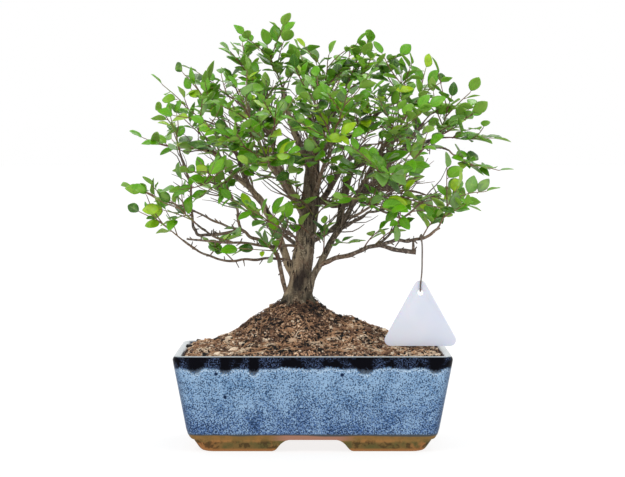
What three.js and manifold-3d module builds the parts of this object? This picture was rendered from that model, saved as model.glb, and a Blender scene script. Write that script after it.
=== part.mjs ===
// A bird plum bonsai in its glazed pot. Millimetres, +Z up, front towards -Y.
// The origin is on the table, under the middle of the pot.
import * as THREE from "three";
import { mergeVertices } from "three/addons/utils/BufferGeometryUtils.js";
import Module from "manifold-3d";

const wasm = await Module();
wasm.setup();

// Clearance between pieces that touch, and the slivers that a join may leave
const gap = 0.3;
const tidyTolerance = 0.1;
const woodTolerance = 0.2;

// Pot: its sloping walls would reach this length and depth at the rim if its edge weren't round
const potLength = 204.6;
const potDepth = 153;
const potHeight = 70;
const potBaseLength = 182.4;
const potBaseDepth = 132;
const potCornerRadius = 10;
const potCornerSteps = 3;
const wallThickness = 7.6;
const floorTop = 15;
const bandBottom = 64;
// The round edge of the rim: how far each level is below the top and in from the wall
const lipLevels = [[2.4, 0.5], [0.7, 1.3], [0, 3]];
const glazeBottom = 12;
const underside = 8.7;
const footTop = [175, 127];
const footSpread = [6, 2];
const footWidth = 14;
const frontArchTop = 39.8;
const frontArchBottom = 61;
const sideArchTop = 32;
const sideArchBottom = 52;
const drainRadius = 9;
const drainPlace = 45;

// Drainage screens
const screenSide = 30;
const screenThickness = 1;
const screenHole = 9;
const screenPitch = 13;

// Soil: it falls away from the trunk, gently to the right and steeply to the front
const soilEdge = 67;
const soilRise = 46;
const soilTopLimit = 69.4;
const soilFallLeft = 44;
const soilFallRight = 62;
const soilFallFront = 38;
const soilFallBack = 48;
const soilFallPower = 1.4;
const soilRings = 10;
const soilSpokes = 32;
const soilCrumb = 1.5;

// Trunk: centre and radius at each height
const trunkFootX = -11;
const trunkFootBottom = 84;
const trunkFootTop = 113;
const trunkFootRadius = 11.6;
const trunkSides = 10;
const trunkFlute = 0.09;
const trunkPath = [
  [-11, 0, 100, 9.6],
  [-11, 0, 112, 9.4],
  [-9.5, 0, 123, 9.2],
  [-8, 0, 135, 9.2],
  [-5, 0, 157, 8.8],
  [-2.5, 0, 176, 8.4],
  [-1, 0, 192, 7.6],
  [0, 0, 207, 6],
  [1, 1, 220, 4.4],
];

// Limbs: each starts inside what it grows from and tapers from base to tip radius
const limbs = [
  { base: 5, tip: 1.6, path: [[0, 0, 202], [1, 1, 218], [3, 3, 236], [6, 5, 252], [9, 5, 264]] },
  { base: 3.4, tip: 1.4, path: [[-1, 1, 203], [-9, 6, 222], [-16, 9, 240], [-20, 9, 255], [-23, 7, 267]] },
  { base: 2.6, tip: 1.3, path: [[2, 2, 228], [14, 8, 246], [21, 10, 258], [24, 9, 266]] },
  {
    base: 1.9,
    tip: 1.3,
    path: [
      [-16, -2, 102], [-19.5, -3, 111], [-22.5, -4, 122], [-24.5, -5, 132], [-27, -6, 142],
      [-34, -8, 150], [-47, -10, 155], [-54, -12, 161],
    ],
  },
  { base: 1.2, tip: 0.9, path: [[-54, -12, 161], [-56, -13, 170], [-57, -14, 178], [-61, -15, 186], [-70, -17, 193]] },
  {
    base: 1.3,
    tip: 0.9,
    path: [
      [-54, -12, 161], [-60, -13, 159], [-72, -15, 157], [-86, -16, 157], [-89, -16, 162],
      [-90, -15, 171], [-91, -14, 186], [-91, -13, 196], [-97, -12, 211],
    ],
  },
  { base: 1, tip: 0.8, path: [[-54, -12, 161], [-62, -8, 162], [-75, -4, 167], [-89, 0, 174]] },
  {
    base: 1.1,
    tip: 0.8,
    path: [
      [-12, 1, 135], [-27, 4, 138], [-43, 8, 137], [-60, 10, 136], [-78, 10, 140],
      [-90, 8, 146], [-98, 6, 152],
    ],
  },
  {
    base: 1.1,
    tip: 0.8,
    path: [
      [-8, -3, 147], [-26, -9, 148], [-46, -14, 150], [-60, -18, 151], [-72, -20, 152],
      [-84, -21, 153], [-94, -21, 154],
    ],
  },
  { base: 1, tip: 0.8, path: [[-60, -18, 151], [-70, -18, 154], [-80, -19, 160]] },
  {
    base: 3.3,
    tip: 1.5,
    path: [
      [-12, 3, 120], [-19, 5, 134], [-23, 6, 147], [-28, 7, 160], [-36, 8, 175], [-40, 9, 183],
      [-48, 10, 192], [-58, 11, 200], [-69, 12, 211], [-75, 12, 218], [-84, 11, 221],
      [-92, 9, 224],
    ],
  },
  {
    base: 2.5,
    tip: 1.3,
    path: [
      [-5, -2, 174], [-14, -4, 186], [-19, -5, 196], [-27, -6, 212], [-31, -7, 230],
      [-34, -6, 244], [-37, -5, 254],
    ],
  },
  { base: 1.2, tip: 0.8, path: [[-31, -7, 230], [-40, -12, 231], [-52, -16, 231], [-64, -18, 236]] },
  { base: 2, tip: 1.1, path: [[-48, 10, 192], [-56, 4, 214], [-64, 0, 232], [-68, -2, 244]] },
  { base: 1.3, tip: 0.9, path: [[-31, -7, 230], [-42, -2, 240], [-51, 2, 250], [-55, 2, 260]] },
  {
    base: 3.1,
    tip: 1.7,
    path: [
      [-6, -3, 102], [-3, -5, 114], [0, -7, 125], [7, -9, 138], [12, -11, 148], [20, -13, 161],
      [26, -16, 172], [32, -20, 183], [42, -28, 204], [52, -38, 222],
    ],
  },
  {
    base: 1.9,
    tip: 1.1,
    path: [
      [3, -8, 132], [12, -12, 137], [19, -16, 140], [28, -21, 142], [37, -26, 146],
      [45, -31, 149], [53, -36, 151], [62, -39, 154], [70, -42, 153], [80, -43, 155],
      [87, -45, 158.5], [93, -47, 163],
    ],
  },
  { base: 1.4, tip: 2.1, path: [[48, -33, 150], [59, -38, 147], [67, -41, 146], [76, -42, 145]] },
  { base: 1.1, tip: 1, path: [[74, -42, 145], [74, -42.5, 149], [74, -42.5, 154]] },
  {
    base: 2.9,
    tip: 1.5,
    path: [
      [-2, 3, 182], [6, 5, 182], [15, 7, 179], [24, 8, 179], [31, 8, 182], [36, 8, 188],
      [50, 8, 197], [55, 8, 203], [56, 7, 212], [57, 6, 221], [56, 4, 229],
    ],
  },
  {
    base: 2.8,
    tip: 2,
    path: [
      [18, -12, 160], [22, -8, 178], [26, -6, 196], [30, -5, 207], [41, -6, 212],
      [50, -8, 216], [63, -10, 217],
    ],
  },
  { base: 2.1, tip: 1.8, path: [[50, 8, 197], [55, 6, 193], [60, 4, 189.5]] },
  {
    base: 3.3,
    tip: 1.6,
    path: [
      [-1, 0, 206], [8, -5, 222], [17, -9, 228], [25, -12, 230], [35, -14, 233],
      [43, -14, 240], [51, -13, 250],
    ],
  },
  {
    base: 1.3,
    tip: 0.9,
    path: [
      [-1, -6, 155], [12, -16, 159], [22, -21, 163], [30, -25, 167], [41, -30, 174],
      [51, -33, 176], [62, -36, 182],
    ],
  },
  { base: 1, tip: 0.8, path: [[45, -31, 149], [53, -33, 154], [63, -32, 167], [80, -30, 181], [88, -28, 188]] },
  { base: 1.1, tip: 0.8, path: [[36, 8, 188], [48, 14, 190], [60, 18, 190], [74, 21, 189]] },
  { base: 1, tip: 0.8, path: [[31, 8, 182], [44, 16, 183], [58, 24, 183]] },
  { base: 1.1, tip: 0.8, path: [[31, 8, 182], [45, 2, 178], [58, -2, 172], [70, -4, 168]] },
  { base: 1.6, tip: 1, path: [[57, 6, 221], [64, 4, 234], [68, 3, 244]] },
  { base: 1.8, tip: 1.1, path: [[56, 7, 212], [68, 10, 219], [80, 10, 223], [91, 8, 228]] },
  { base: 1.1, tip: 0.9, path: [[80, 10, 223], [88, 6, 222], [96, 3, 222]] },
  { base: 1.2, tip: 0.9, path: [[68, 10, 219], [76, 13, 230], [83, 14, 240]] },
  { base: 2.6, tip: 1.3, path: [[-6, 4, 168], [-20, 24, 190], [-30, 38, 204], [-36, 46, 212]] },
  { base: 2.6, tip: 1.3, path: [[1, 4, 176], [18, 26, 200], [28, 40, 213], [34, 48, 220]] },
  { base: 2.2, tip: 1.2, path: [[0, 3, 192], [2, 26, 220], [1, 40, 234], [0, 48, 242]] },
  { base: 1.9, tip: 1.1, path: [[-8, 6, 146], [-28, 30, 160], [-50, 52, 172]] },
  { base: 1.9, tip: 1.1, path: [[-2, 5, 150], [22, 28, 166], [44, 50, 176]] },
  { base: 1.9, tip: 1.1, path: [[-5, -4, 170], [-20, -26, 194], [-31, -46, 210]] },
  { base: 1.9, tip: 1.1, path: [[0, -4, 184], [8, -28, 208], [13, -48, 225]] },
  { base: 1.1, tip: 0.9, path: [[-7, -6, 146], [-13, -22, 155], [-20, -36, 160]] },
  { base: 1.2, tip: 0.9, path: [[32, -20, 183], [44, -34, 190], [54, -44, 197]] },
];

// Crown: where each leafy spray ends, round the outline, then over the front and the back
const sprayTips = [
  [-127, -6, 189], [-121, 2, 171], [-104, -34, 182], [-113, 24, 224], [-106, -14, 244],
  [-97, 18, 258], [-88, -6, 269], [-75, 14, 271], [-55, -2, 290], [-34, -6, 297],
  [-11, 10, 286], [12, -13, 291], [34, 14, 291], [48, -4, 283], [66, -8, 278],
  [86, 8, 269], [104, -4, 259], [119, 14, 246], [128, -4, 230], [121, -16, 208],
  [112, 8, 181], [105, -58, 192], [92, 34, 172],
  [-84, -58, 196], [-62, -74, 230], [-88, -50, 248], [-54, -58, 264], [-32, -86, 212],
  [-26, -80, 252], [-6, -58, 272], [8, -90, 232], [26, -74, 262], [46, -84, 208],
  [62, -64, 248], [84, -62, 224], [40, -74, 180], [-42, -68, 176], [-36, -30, 152],
  [-84, 60, 204], [-62, 74, 226], [-50, 62, 256], [-24, 87, 214], [-8, 80, 248],
  [20, 60, 272], [24, 88, 222], [48, 84, 244], [84, 64, 232], [66, 84, 196],
];
// Sprays inside the crown: where the main shoot of each ends, then its side shoots
const innerTips = [
  [[-68, -24, 206], [-90, -30, 204], [-46, -30, 210], [-58, -44, 184], [-82, -44, 186]],
  [[-47, -36, 236], [-74, -22, 250], [-28, -36, 248], [-40, -44, 214], [-66, -34, 226]],
  [[0, -50, 218], [-16, -46, 204], [22, -44, 206], [14, -38, 246], [-8, -40, 240]],
  [[40, -28, 254], [14, -34, 258], [64, -22, 256], [54, -36, 234], [28, -40, 236]],
  [[66, -50, 190], [30, -50, 184], [74, -34, 212], [62, -60, 166], [92, -58, 178]],
];
const innerForkDistance = 16;
const crownCentre = [0, 0, 195];
const shortestTwig = 34;
const forkBias = 1.7;
const twigRadius = [1.05, 0.85];
const twigSides = 3;
const twigRings = 2;
const shootLength = 44;
const shootShare = 0.72;
const shootRadius = [0.8, 0.55];
const shootSides = 3;
const shootRings = 3;
const sideShootPlaces = [0.18, 0.44];
const sideShootLength = [20, 28];
const sideShootAngle = [0.6, 0.95];
const sideShootRadius = [0.7, 0.55];
const sideShootLift = 0.15;
const mainLeafPlaces = [0.36, 0.7, 1];
const sideLeafPlaces = [0.5, 1];
const innerLeafPlaces = [0.45, 0.72, 1];

// Leaves: each faces partly out, up and to the front, and partly where it happens to
const leafLength = [13, 18];
const leafBreadth = [0.6, 0.72];
const leafThickness = 1;
const leafAngle = [0.7, 1.15];
const leafArch = 0.1;
const leafFold = 0.2;
const leafOut = 0.5;
const leafUp = 0.6;
const leafFront = 0.25;
const leafTurn = 1.7;
const leafSink = [0.15, 0.3];
const leafClearance = 0.2;
const drawSteps = [12.9898, 78.233, 37.719, 53.117];
const drawScale = 43758.5453;

// Hang tag and its wire
const tagCentre = [79.2, -42];
const tagBottom = 75.7;
const tagHeight = 48.3;
const tagWidth = 52.7;
const tagThickness = 1;
const tagCorner = 4.5;
const tagHoleHeight = 115.1;
const tagHoleRadius = 2.2;
const wireRadius = 0.65;
const wireSides = 6;
const wireSteps = 48;
const hookCentre = [80, -43, 155];
const hookRadius = 2.85;
const wireLoopRadius = 1.7;

const colours = {
  glaze: "#4f6f93",
  soil: "#5d4331",
  bark: "#6b5a4c",
  leaf: "#4d9a2a",
  tagPlastic: "#e9edf0",
  wireCoat: "#5a4038",
  screenPlastic: "#20262a",
};

const group = new THREE.Group();

const vector = ([x, y, z]) => new THREE.Vector3(x, y, z);
const mix = (range, share) => range[0] + (range[1] - range[0]) * share;

// The same keys always give the same number between 0 and 1
function draw(...keys) {
  const angle = keys.reduce((sum, key, place) => sum + (key + 1) * drawSteps[place], 0);
  const wave = Math.sin(angle) * drawScale;
  return wave - Math.floor(wave);
}

function signedVolume(positions, triangles) {
  const corners = [new THREE.Vector3(), new THREE.Vector3(), new THREE.Vector3()];
  let sum = 0;
  for (let i = 0; i < triangles.length; i += 3) {
    corners.forEach((corner, k) => corner.fromArray(positions, triangles[i + k] * 3));
    sum += corners[0].dot(corners[1].clone().cross(corners[2]));
  }
  return sum / 6;
}

// A closed three.js geometry as a solid whose faces point out
function asSolid(geometry) {
  geometry.deleteAttribute("normal");
  geometry.deleteAttribute("uv");
  const merged = mergeVertices(geometry, 1e-4);
  const positions = merged.attributes.position.array;
  const triangles = [];
  for (let i = 0; i < merged.index.count; i += 3) {
    const [a, b, c] = merged.index.array.slice(i, i + 3);
    if (a !== b && b !== c && c !== a) triangles.push(a, b, c);
  }
  if (signedVolume(positions, triangles) < 0) triangles.reverse();
  return new wasm.Manifold(new wasm.Mesh({
    numProp: 3,
    vertProperties: Float32Array.from(positions),
    triVerts: Uint32Array.from(triangles),
  }));
}

function addPart(name, solid, colour, roughness, tolerance = tidyTolerance) {
  const mesh = solid.asOriginal().simplify(tolerance).getMesh();
  const geometry = new THREE.BufferGeometry();
  geometry.setAttribute("position", new THREE.BufferAttribute(mesh.vertProperties, 3));
  geometry.setIndex(new THREE.BufferAttribute(mesh.triVerts, 1));
  geometry.computeVertexNormals();
  const material = new THREE.MeshStandardMaterial({ color: colour, roughness, metalness: 0 });
  const part = new THREE.Mesh(geometry, material);
  part.name = name;
  group.add(part);
}

function reshape(geometry, place) {
  const position = geometry.attributes.position;
  const point = new THREE.Vector3();
  for (let i = 0; i < position.count; i += 1) {
    point.fromBufferAttribute(position, i);
    const moved = place(point);
    position.setXYZ(i, moved.x, moved.y, moved.z);
  }
  return geometry;
}

// Column 0, 1, 2... of a rounded rectangle's outline, counted over its four corners
function roundedOutline(column, steps, length, depth, radius) {
  const corner = Math.floor(column / (steps + 1)) % 4;
  const angle = (corner + (column % (steps + 1)) / steps) * (Math.PI / 2);
  const signX = corner === 0 || corner === 3 ? 1 : -1;
  const signY = corner < 2 ? 1 : -1;
  return new THREE.Vector2(
    signX * (length / 2 - radius) + radius * Math.cos(angle),
    signY * (depth / 2 - radius) + radius * Math.sin(angle),
  );
}

// A solid stacked from rounded rectangles; levels go up, each [length, depth, radius, height]
function stackedBlock(levels) {
  const columns = 4 * (potCornerSteps + 1);
  const rows = levels.length - 1;
  const block = new THREE.CylinderGeometry(1, 1, 1, columns, rows);
  return asSolid(reshape(block, ({ x, y, z }) => {
    const [length, depth, radius, height] = levels[Math.round((y + 0.5) * rows)];
    if (Math.hypot(x, z) < 0.5) return new THREE.Vector3(0, 0, height);
    const turn = Math.atan2(z, x) / (2 * Math.PI) + 1;
    const column = Math.round(turn * columns) % columns;
    const outline = roundedOutline(column, potCornerSteps, length, depth, radius);
    return new THREE.Vector3(outline.x, outline.y, height);
  }));
}

// How long and deep the pot is at a height on its sloping wall
function potSize(height) {
  const share = (height - glazeBottom) / (potHeight - glazeBottom);
  return [mix([potBaseLength, potLength], share), mix([potBaseDepth, potDepth], share)];
}

function potLevel(height, inset) {
  const [length, depth] = potSize(height);
  return [length - 2 * inset, depth - 2 * inset, Math.max(potCornerRadius - inset, 3), height];
}

// A low arch with sloping ends that runs right through under the pot
function archCutter(topWidth, bottomWidth, reach) {
  const arch = new THREE.Shape();
  arch.moveTo(-bottomWidth / 2, -1);
  arch.lineTo(bottomWidth / 2, -1);
  arch.lineTo(topWidth / 2 + 1.5, underside - 1.6);
  arch.quadraticCurveTo(topWidth / 2 + 0.4, underside, topWidth / 2 - 2, underside);
  arch.lineTo(2 - topWidth / 2, underside);
  arch.quadraticCurveTo(-topWidth / 2 - 0.4, underside, -topWidth / 2 - 1.5, underside - 1.6);
  arch.closePath();
  const options = { depth: reach, bevelEnabled: false, curveSegments: 3 };
  const cutter = new THREE.ExtrudeGeometry(arch, options);
  cutter.translate(0, 0, -reach / 2);
  cutter.rotateX(Math.PI / 2);
  return cutter;
}

function makePot() {
  const outside = stackedBlock([
    potLevel(underside, 1.6),
    potLevel(underside + 1.6, 0.4),
    potLevel(glazeBottom, 0),
    potLevel(bandBottom, 0),
    ...lipLevels.map(([drop, inset]) => potLevel(potHeight - drop, inset)),
  ]);
  const hollow = stackedBlock([
    potLevel(floorTop, wallThickness + 3),
    potLevel(floorTop + 3, wallThickness),
    potLevel(potHeight - 1.6, wallThickness),
    potLevel(potHeight + 1, wallThickness - 2.6),
  ]);
  const footLevel = (height, inset) => {
    const [length, depth] = [0, 1].map((k) => {
      return footTop[k] - 2 * (footSpread[k] * (1 - height / underside) + inset);
    });
    return [length, depth, Math.max(potCornerRadius - inset, 3), height];
  };
  const feet = stackedBlock([footLevel(0, 0.6), footLevel(0.6, 0), footLevel(underside + 1.5, 0)])
    .subtract(stackedBlock([footLevel(-1, footWidth), footLevel(underside, footWidth)]))
    .subtract(asSolid(archCutter(frontArchTop, frontArchBottom, potDepth)))
    .subtract(asSolid(archCutter(sideArchTop, sideArchBottom, potLength).rotateZ(Math.PI / 2)));
  let pot = outside.add(feet).subtract(hollow);
  for (const side of [-1, 1]) {
    const drain = new THREE.CylinderGeometry(drainRadius, drainRadius, floorTop, 16);
    drain.rotateX(Math.PI / 2).translate(side * drainPlace, 0, floorTop);
    pot = pot.subtract(asSolid(drain));
  }
  return pot;
}

function screenBlock(side, width, height, shiftX, shiftY) {
  const block = new THREE.BoxGeometry(width, width, height);
  const middle = floorTop + gap + screenThickness / 2;
  return asSolid(block.translate(side * drainPlace + shiftX, shiftY, middle));
}

function makeScreen(side) {
  let screen = screenBlock(side, screenSide, screenThickness, 0, 0);
  for (const column of [-0.5, 0.5]) {
    for (const row of [-0.5, 0.5]) {
      const [x, y] = [column * screenPitch, row * screenPitch];
      screen = screen.subtract(screenBlock(side, screenHole, 3 * screenThickness, x, y));
    }
  }
  return screen;
}

function soilHeight(x, y) {
  const acrossFall = x < trunkFootX ? soilFallLeft : soilFallRight;
  const depthFall = y < 0 ? soilFallFront : soilFallBack;
  const away = Math.hypot((x - trunkFootX) / acrossFall, y / depthFall);
  return soilEdge + soilRise * Math.exp(-(away ** soilFallPower));
}

function makeSoil() {
  const profile = [new THREE.Vector2(0, 1)];
  for (let ring = 1; ring <= soilRings; ring += 1) {
    profile.push(new THREE.Vector2(ring / soilRings, 1));
  }
  profile.push(new THREE.Vector2(1, 0.5), new THREE.Vector2(1, 0), new THREE.Vector2(0, 0));
  const mound = new THREE.LatheGeometry(profile, soilSpokes);
  const cornerSteps = soilSpokes / 4 - 1;
  const bottom = floorTop + gap;
  const shoulder = floorTop + 3 + gap;
  const body = asSolid(reshape(mound, ({ x, y, z }) => {
    const away = Math.hypot(x, z);
    const turn = Math.atan2(z, x) / (2 * Math.PI) + 1;
    const column = Math.round(turn * soilSpokes) % soilSpokes;
    const outlineAt = (level, inset) => {
      const [length, depth, radius] = potLevel(level, inset);
      return roundedOutline(column, cornerSteps, length, depth, radius);
    };
    const inset = wallThickness + gap;
    if (y < 0.9) {
      const level = y > 0.4 ? shoulder : bottom;
      const edge = outlineAt(level, y > 0.4 ? inset : inset + 3).multiplyScalar(away);
      return new THREE.Vector3(edge.x, edge.y, level);
    }
    const edge = outlineAt(soilEdge, inset);
    if (away > 0.99) {
      const surface = Math.min(soilHeight(edge.x, edge.y), soilTopLimit);
      edge.copy(outlineAt(surface, inset));
      return new THREE.Vector3(edge.x, edge.y, surface);
    }
    // The rings start round the trunk and end along the wall
    const placeX = edge.x * away + trunkFootX * (1 - away ** 1.5);
    const placeY = edge.y * away;
    const crumb = away > 0.01 ? (draw(column, Math.round(away * soilRings)) - 0.5) * 2 * soilCrumb : 0;
    return new THREE.Vector3(placeX, placeY, soilHeight(placeX, placeY) + crumb);
  }));
  const hole = new THREE.CylinderGeometry(
    trunkFootRadius + gap,
    trunkFootRadius + gap,
    potHeight,
    trunkSides * 2,
  );
  hole.rotateX(Math.PI / 2).translate(trunkFootX, 0, trunkFootBottom - gap + potHeight / 2);
  const recess = [screenSide + 2 * gap, screenThickness + 2 * gap, 0, 0];
  return body
    .subtract(asSolid(hole))
    .subtract(screenBlock(-1, ...recess))
    .subtract(screenBlock(1, ...recess));
}

// A tapering tube along a curve; radiusAt takes the share along it and the turn round it
function bentTube(curve, rings, sides, radiusAt) {
  const centres = curve.getSpacedPoints(rings);
  const { normals, binormals } = curve.computeFrenetFrames(rings, false);
  const tube = new THREE.CylinderGeometry(1, 1, 1, sides, rings);
  return asSolid(reshape(tube, ({ x, y, z }) => {
    const ring = Math.round((0.5 - y) * rings);
    const radius = radiusAt(ring / rings, Math.atan2(z, x));
    return centres[ring].clone()
      .addScaledVector(normals[ring], x * radius)
      .addScaledVector(binormals[ring], z * radius);
  }));
}

function limbTube({ path, base, tip }) {
  const curve = new THREE.CatmullRomCurve3(path.map(vector));
  const sides = base > 2.4 ? 6 : base > 1.5 ? 5 : 3;
  return bentTube(curve, path.length - 1, sides, (share) => mix([base, tip], share));
}

function trunkTube() {
  const curve = new THREE.CatmullRomCurve3(trunkPath.map(vector));
  const rings = trunkPath.length + 1;
  return bentTube(curve, rings, trunkSides, (share, turn) => {
    const place = share * (trunkPath.length - 1);
    const below = Math.min(Math.floor(place), trunkPath.length - 2);
    const radius = mix([trunkPath[below][3], trunkPath[below + 1][3]], place - below);
    return radius * (1 + trunkFlute * Math.sin(3 * turn + 2.4 * share));
  });
}

// The plain foot that stands in the hole in the soil
function trunkFoot() {
  const height = trunkFootTop - trunkFootBottom;
  const foot = new THREE.CylinderGeometry(
    trunkFootRadius * 0.86,
    trunkFootRadius,
    height,
    trunkSides,
  );
  foot.rotateX(Math.PI / 2).translate(trunkFootX, 0, trunkFootBottom + height / 2);
  return asSolid(foot);
}

// The fork on some paths that a twig to the tip leaves from, and the way it grows there
function forkFor(tip, shortest, paths) {
  let best = { cost: Infinity };
  for (const path of paths) {
    for (let i = 1; i < path.length; i += 1) {
      const point = vector(path[i]);
      const growth = vector(path[Math.min(i + 1, path.length - 1)]).sub(vector(path[i - 1]));
      growth.normalize();
      const reach = tip.clone().sub(point);
      const distance = reach.length();
      const cost = distance * (forkBias - reach.dot(growth) / distance);
      if (distance > shortest && cost < best.cost) best = { cost, point, growth, distance };
    }
  }
  return best;
}

// The stretch of a cubic curve between two places on it, as a curve of its own
function cutCurve(points, from, to) {
  const blend = (a, b, share) => a.clone().lerp(b, share);
  const corner = (first, second, third) => {
    const step = [0, 1, 2].map((i) => blend(points[i], points[i + 1], first));
    const next = [0, 1].map((i) => blend(step[i], step[i + 1], second));
    return blend(next[0], next[1], third);
  };
  return [
    corner(from, from, from),
    corner(from, from, to),
    corner(from, to, to),
    corner(to, to, to),
  ];
}

// From the limb the twig bends up and out; its leafy end is the spray
function twigPoints(index) {
  const inner = index >= sprayTips.length;
  const tip = vector(inner ? innerTips[index - sprayTips.length][0] : sprayTips[index]);
  const shortest = inner ? innerForkDistance : shortestTwig;
  const { point, growth, distance } = forkFor(tip, shortest, limbs.map(({ path }) => path));
  const outward = tip.clone().sub(vector(crownCentre)).normalize();
  const ending = tip.clone().sub(point).normalize().addScaledVector(outward, 0.4);
  ending.z += 0.35;
  ending.normalize();
  const points = [
    point,
    point.clone().addScaledVector(growth, distance * 0.28),
    tip.clone().addScaledVector(ending, -distance * 0.34),
    tip,
  ];
  const leafyShare = Math.min(shootLength / distance, shootShare);
  return { points, split: 1 - leafyShare, outward };
}

function cubic(points) {
  return new THREE.CubicBezierCurve3(...points);
}

function makeTwig(index) {
  const { points, split } = twigPoints(index);
  const rings = index < sprayTips.length ? twigRings : 1;
  return bentTube(cubic(cutCurve(points, 0, split)), rings, twigSides, (share) => mix(twigRadius, share));
}

// A lens-shaped blade whose outline is widest below its middle, arched and folded at the rib
function leafBlade(root, along, face, length, breadth) {
  const across = face.clone().cross(along).normalize();
  const up = along.clone().cross(across);
  const blade = new THREE.SphereGeometry(1, 6, 2);
  return asSolid(reshape(blade, ({ x, y, z }) => {
    const plain = (1 + x) / 2;
    const share = Math.abs(y) > 0.5 ? 0.46 : plain - 0.04 * Math.sin(Math.PI * plain);
    const side = Math.abs(y) > 0.5 ? 0 : z * breadth * length / 2;
    const lift = Math.abs(side) * leafFold - leafArch * length * share * share;
    return root.clone()
      .addScaledVector(along, share * length)
      .addScaledVector(across, side)
      .addScaledVector(up, lift + (Math.abs(y) > 0.5 ? y * leafThickness / 2 : 0));
  }));
}

// The point at a share of the way along a shoot's centres, and the way it grows there
function placeOn(centres, place) {
  const step = place * (centres.length - 1);
  const below = Math.min(Math.floor(step), centres.length - 2);
  const [start, end] = [centres[below], centres[below + 1]];
  return { point: start.clone().lerp(end, step - below), growth: end.clone().sub(start).normalize() };
}

// One leaf on a shoot, to its left or right, or at its tip
function leafOn(centres, place, side, outward, keys) {
  const { point, growth } = placeOn(centres, place);
  const face = outward.clone().multiplyScalar(leafOut);
  face.z += leafUp;
  face.x += (draw(...keys, 1) - 0.5) * leafTurn;
  face.y += (draw(...keys, 2) - 0.5) * leafTurn - leafFront;
  face.normalize();
  const sideways = growth.clone().cross(face).normalize();
  const atTip = place > 0.99;
  const angle = atTip ? (draw(...keys, 3) - 0.5) * 0.6 : mix(leafAngle, draw(...keys, 3));
  const along = growth.clone().multiplyScalar(Math.cos(angle))
    .addScaledVector(sideways, Math.sin(angle) * (atTip ? 1 : side));
  along.z += (draw(...keys, 4) - 0.35) * 0.5;
  along.normalize();
  const length = mix(leafLength, draw(...keys, 5)) * (atTip ? 0.9 : 1);
  const breadth = mix(leafBreadth, draw(...keys, 6));
  const root = point.addScaledVector(along, -leafSink[atTip ? 1 : 0]);
  return leafBlade(root, along, face, length, breadth);
}

function sideShoot(centres, place, side, outward, keys) {
  const { point, growth } = placeOn(centres, place);
  const face = outward.clone().multiplyScalar(0.5);
  face.z += 0.8;
  const sideways = growth.clone().cross(face).normalize();
  const angle = mix(sideShootAngle, draw(...keys, 1));
  const length = mix(sideShootLength, draw(...keys, 2));
  const leaving = growth.clone().multiplyScalar(Math.cos(angle))
    .addScaledVector(sideways, Math.sin(angle) * side);
  leaving.z += sideShootLift;
  return new THREE.LineCurve3(point, point.clone().addScaledVector(leaving, length));
}

function boxesNear(first, second, reach) {
  const a = first.boundingBox();
  const b = second.boundingBox();
  return [0, 1, 2].every((k) => a.min[k] < b.max[k] + reach && b.min[k] < a.max[k] + reach);
}

function isClear(solid, others) {
  return others.every((other) => !boxesNear(solid, other, leafClearance)
    || solid.minGap(other, leafClearance * 2) >= leafClearance);
}

// One shoot with its side shoots and leaves; what would cross something else is left off
function makeSpray(index, others) {
  const { points, split, outward } = twigPoints(index);
  const rest = cutCurve(points, split, 1);
  const speed = rest[1].distanceTo(rest[0]) * 3;
  const shoot = cubic(cutCurve(rest, gap / speed, 1));
  const centres = shoot.getSpacedPoints(shootRings);
  const wood = [bentTube(shoot, shootRings, shootSides, (share) => mix(shootRadius, share))];
  const blades = [];
  const addBlade = (stem, place, side, keys) => {
    const blade = leafOn(stem, place, side, outward, keys);
    if (isClear(blade, others) && isClear(blade, blades)) blades.push(blade);
  };
  const addSideShoot = (stem, leafPlaces, order, side) => {
    const tube = bentTube(stem, 1, shootSides, (share) => mix(sideShootRadius, share));
    if (!isClear(tube, others) || !isClear(tube, blades)) return;
    wood.push(tube);
    leafPlaces.forEach((place, k) => {
      addBlade(stem.getPoints(1), place, k % 2 === 0 ? side : -side, [index, order, k + 1]);
    });
  };
  const inner = index >= sprayTips.length;
  (inner ? innerLeafPlaces : mainLeafPlaces).forEach((place, i) => {
    addBlade(centres, place, i % 2 === 0 ? 1 : -1, [index, 0, i]);
  });
  if (inner) {
    innerTips[index - sprayTips.length].slice(1).forEach((place, i) => {
      const tip = vector(place);
      const { point } = forkFor(tip, innerForkDistance, [centres]);
      addSideShoot(new THREE.LineCurve3(point, tip), innerLeafPlaces, i + 1, i % 2 === 0 ? 1 : -1);
    });
  } else {
    sideShootPlaces.forEach((place, i) => {
      const side = (i + index) % 2 === 0 ? 1 : -1;
      const stem = sideShoot(centres, place, side, outward, [index, i + 1, 0]);
      addSideShoot(stem, sideLeafPlaces, i + 1, side);
    });
  }
  return wasm.Manifold.union([...wood, ...blades]);
}

// A triangle with round corners and one hole, hanging in the plane of its wire
function makeTag() {
  const corners = [
    [-tagWidth / 2 + tagCorner, tagCorner],
    [tagWidth / 2 - tagCorner, tagCorner],
    [0, tagHeight - tagCorner],
  ].map(([x, y]) => new THREE.Vector2(x, y));
  const outline = new THREE.Shape();
  corners.forEach((corner, i) => {
    const before = corner.clone().sub(corners[(i + 2) % 3]).angle() - Math.PI / 2;
    const after = corners[(i + 1) % 3].clone().sub(corner).angle() - Math.PI / 2;
    outline.absarc(corner.x, corner.y, tagCorner, before, after, false);
  });
  const hole = new THREE.Path();
  hole.absarc(0, tagHoleHeight - tagBottom, tagHoleRadius, 0, 2 * Math.PI, true);
  outline.holes.push(hole);
  const options = { depth: tagThickness, bevelEnabled: false, curveSegments: 8 };
  const tag = new THREE.ExtrudeGeometry(outline, options);
  tag.translate(0, 0, -tagThickness / 2);
  tag.rotateX(Math.PI / 2);
  return asSolid(tag.translate(tagCentre[0], tagCentre[1], tagBottom));
}

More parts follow.
